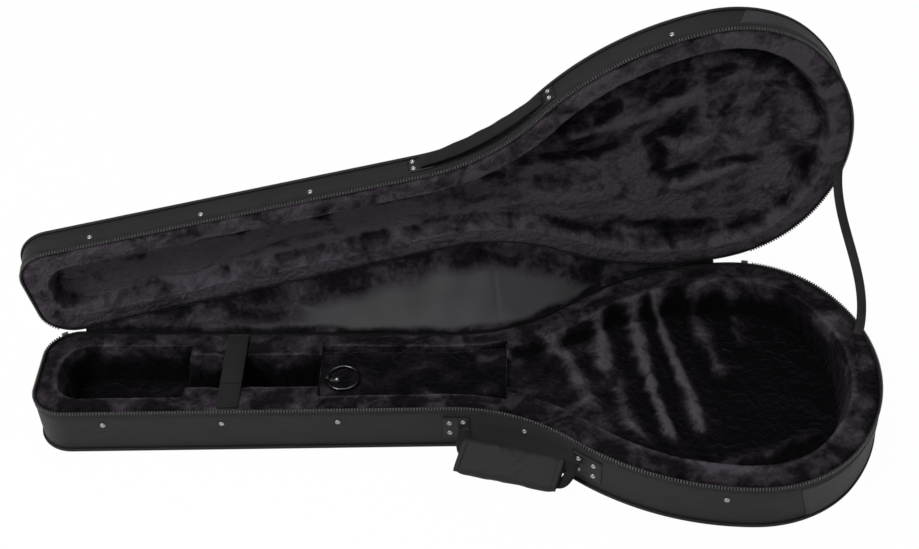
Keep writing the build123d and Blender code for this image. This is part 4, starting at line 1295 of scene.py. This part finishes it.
# Stay strap from rim to rim at the tail
foot_x = HALF_LENGTH - TIP_RADIUS + math.sqrt((TIP_RADIUS - 8.0) ** 2 - 57.0**2)
stay_low, stay_high = place("base", foot_x, 57.0, 3.4), place("lid", foot_x, 57.0, 0.5)
chord = stay_high - stay_low
sag = unit(np.cross(chord, HINGE)) * 16.0
knots = np.array([0.0, 0.3, 0.65, 1.0])
stops = np.stack([stay_low, stay_low + chord * 0.3 + HINGE * 13.0 + sag * 0.8,
                  stay_low + chord * 0.65 + HINGE * 1.3 + sag * 0.8, stay_high])
t = np.linspace(0, 1, 90)
fit = np.stack([np.polyfit(knots, stops[:, i], 3) for i in range(3)], 1)
path = np.stack([np.polyval(fit[:, i], t) for i in range(3)], 1)
stay = strap("stay", path, HINGE, 12.0, 1.2, None, "webbing", STAY_WEBBING)
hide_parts("lid_stay_strap")
tuple((stay_low + chord * 0.15) / 1000)
tuple((stay_low + chord * 0.85) / 1000)
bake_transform(stay)

# Camera, floor and light
IMAGE_WIDTH, SENSOR = 919.0, 36.0
FOCAL_PIXELS, DISTANCE = 1570.609, 2182.84
AIM = np.array([-2.0124, 247.7197, 0.0])
yaw, pitch, roll = -0.05112989, 0.74847235, -0.04311684
ahead = np.array([math.sin(yaw) * math.cos(pitch), math.cos(yaw) * math.cos(pitch), -math.sin(pitch)])
level_right = np.array([math.cos(yaw), -math.sin(yaw), 0.0])
level_up = np.cross(level_right, ahead)
right = math.cos(roll) * level_right + math.sin(roll) * level_up
up = -math.sin(roll) * level_right + math.cos(roll) * level_up
spot = AIM - DISTANCE * ahead


def placed(right, up, back, at):
    """The matrix of an object with those three axes, standing at a place in metres."""
    return Matrix([[*row, p] for row, p in zip(np.stack([right, up, back], 1), at)] + [[0, 0, 0, 1]])


camera = added("camera", bpy.data.cameras.new("camera"))
camera.data.lens = SENSOR * FOCAL_PIXELS / IMAGE_WIDTH
camera.data.sensor_width = SENSOR
camera.matrix_world = placed(right, up, -ahead, spot / 1000)
camera.data.clip_end = 100.0
bpy.context.scene.camera = camera


def backdrop_finish():
    """White floor: plain diffuse for the shadow, and white to the camera and in reflections."""
    f = Finish("floor_white")
    rays = f.tree.nodes.new("ShaderNodeLightPath")
    seen = Value(f, rays.outputs["Is Camera Ray"])
    shine = Value(f, rays.outputs["Is Glossy Ray"])
    tone = f.noise(2.0)
    plain = f.node("ShaderNodeBsdfDiffuse", {}, {"Color": f.mixed(tone * 0.1, (0.86,) * 3, (0.9,) * 3)})
    white = f.node("ShaderNodeEmission", {}, {"Color": (1, 1, 1, 1), "Strength": 1.0})
    share = f.node("ShaderNodeMath", {"operation": "MAXIMUM"}, {0: seen * 0.98, 1: shine * 0.3})
    return f.shown(f.node("ShaderNodeMixShader", {}, {0: share, 1: plain, 2: white}))


ends = np.array([(-9000, -9000, -0.6), (9000, -9000, -0.6), (9000, 9000, -0.6), (-9000, 9000, -0.6)])
floor_mesh = bpy.data.meshes.new("floor")
floor_mesh.from_pydata((ends / 1000).tolist(), [], [(0, 1, 2, 3)])
floor_mesh.materials.append(backdrop_finish())
floor = added("floor", floor_mesh)

world = bpy.data.worlds.new("studio")
world.use_nodes = True
tree = world.node_tree
rays = tree.nodes.new("ShaderNodeLightPath")
mix = tree.nodes.new("ShaderNodeMixShader")
tree.links.new(rays.outputs["Is Camera Ray"], mix.inputs[0])
backs = ((tree.nodes["Background"], (0.9, 0.9, 0.92, 1.0), 0.22),
         (tree.nodes.new("ShaderNodeBackground"), (1.0, 1.0, 1.0, 1.0), 1.0))
for place_in_mix, (back, shade, strength) in enumerate(backs, 1):
    back.inputs["Color"].default_value = shade
    back.inputs["Strength"].default_value = strength
    tree.links.new(back.outputs[0], mix.inputs[place_in_mix])
tree.links.new(mix.outputs[0], tree.nodes["World Output"].inputs["Surface"])
bpy.context.scene.world = world

# Each lamp's place and aim in metres, its power in watts and its size
lamps = {
    "key": ((-1.5, -1.0, 2.3), (0.0, 0.1, 0.1), 52.0, 1.0),
    "fill": ((1.7, -1.3, 1.2), (0.1, 0.1, 0.1), 7.0, 1.6),
    "top": ((-0.2, 0.5, 2.6), (0.0, 0.1, 0.0), 20.0, 1.2),
}
for name, (here, towards, power, size) in lamps.items():
    lamp = bpy.data.lights.new(name, "AREA")
    lamp.energy, lamp.size = power, size
    look = unit(np.array(towards) - here)
    side = unit(np.cross(look, [0, 0, 1.0]))
    added(name, lamp).matrix_world = placed(side, np.cross(side, look), -look, here)

bpy.context.scene.view_settings.view_transform = "Standard"
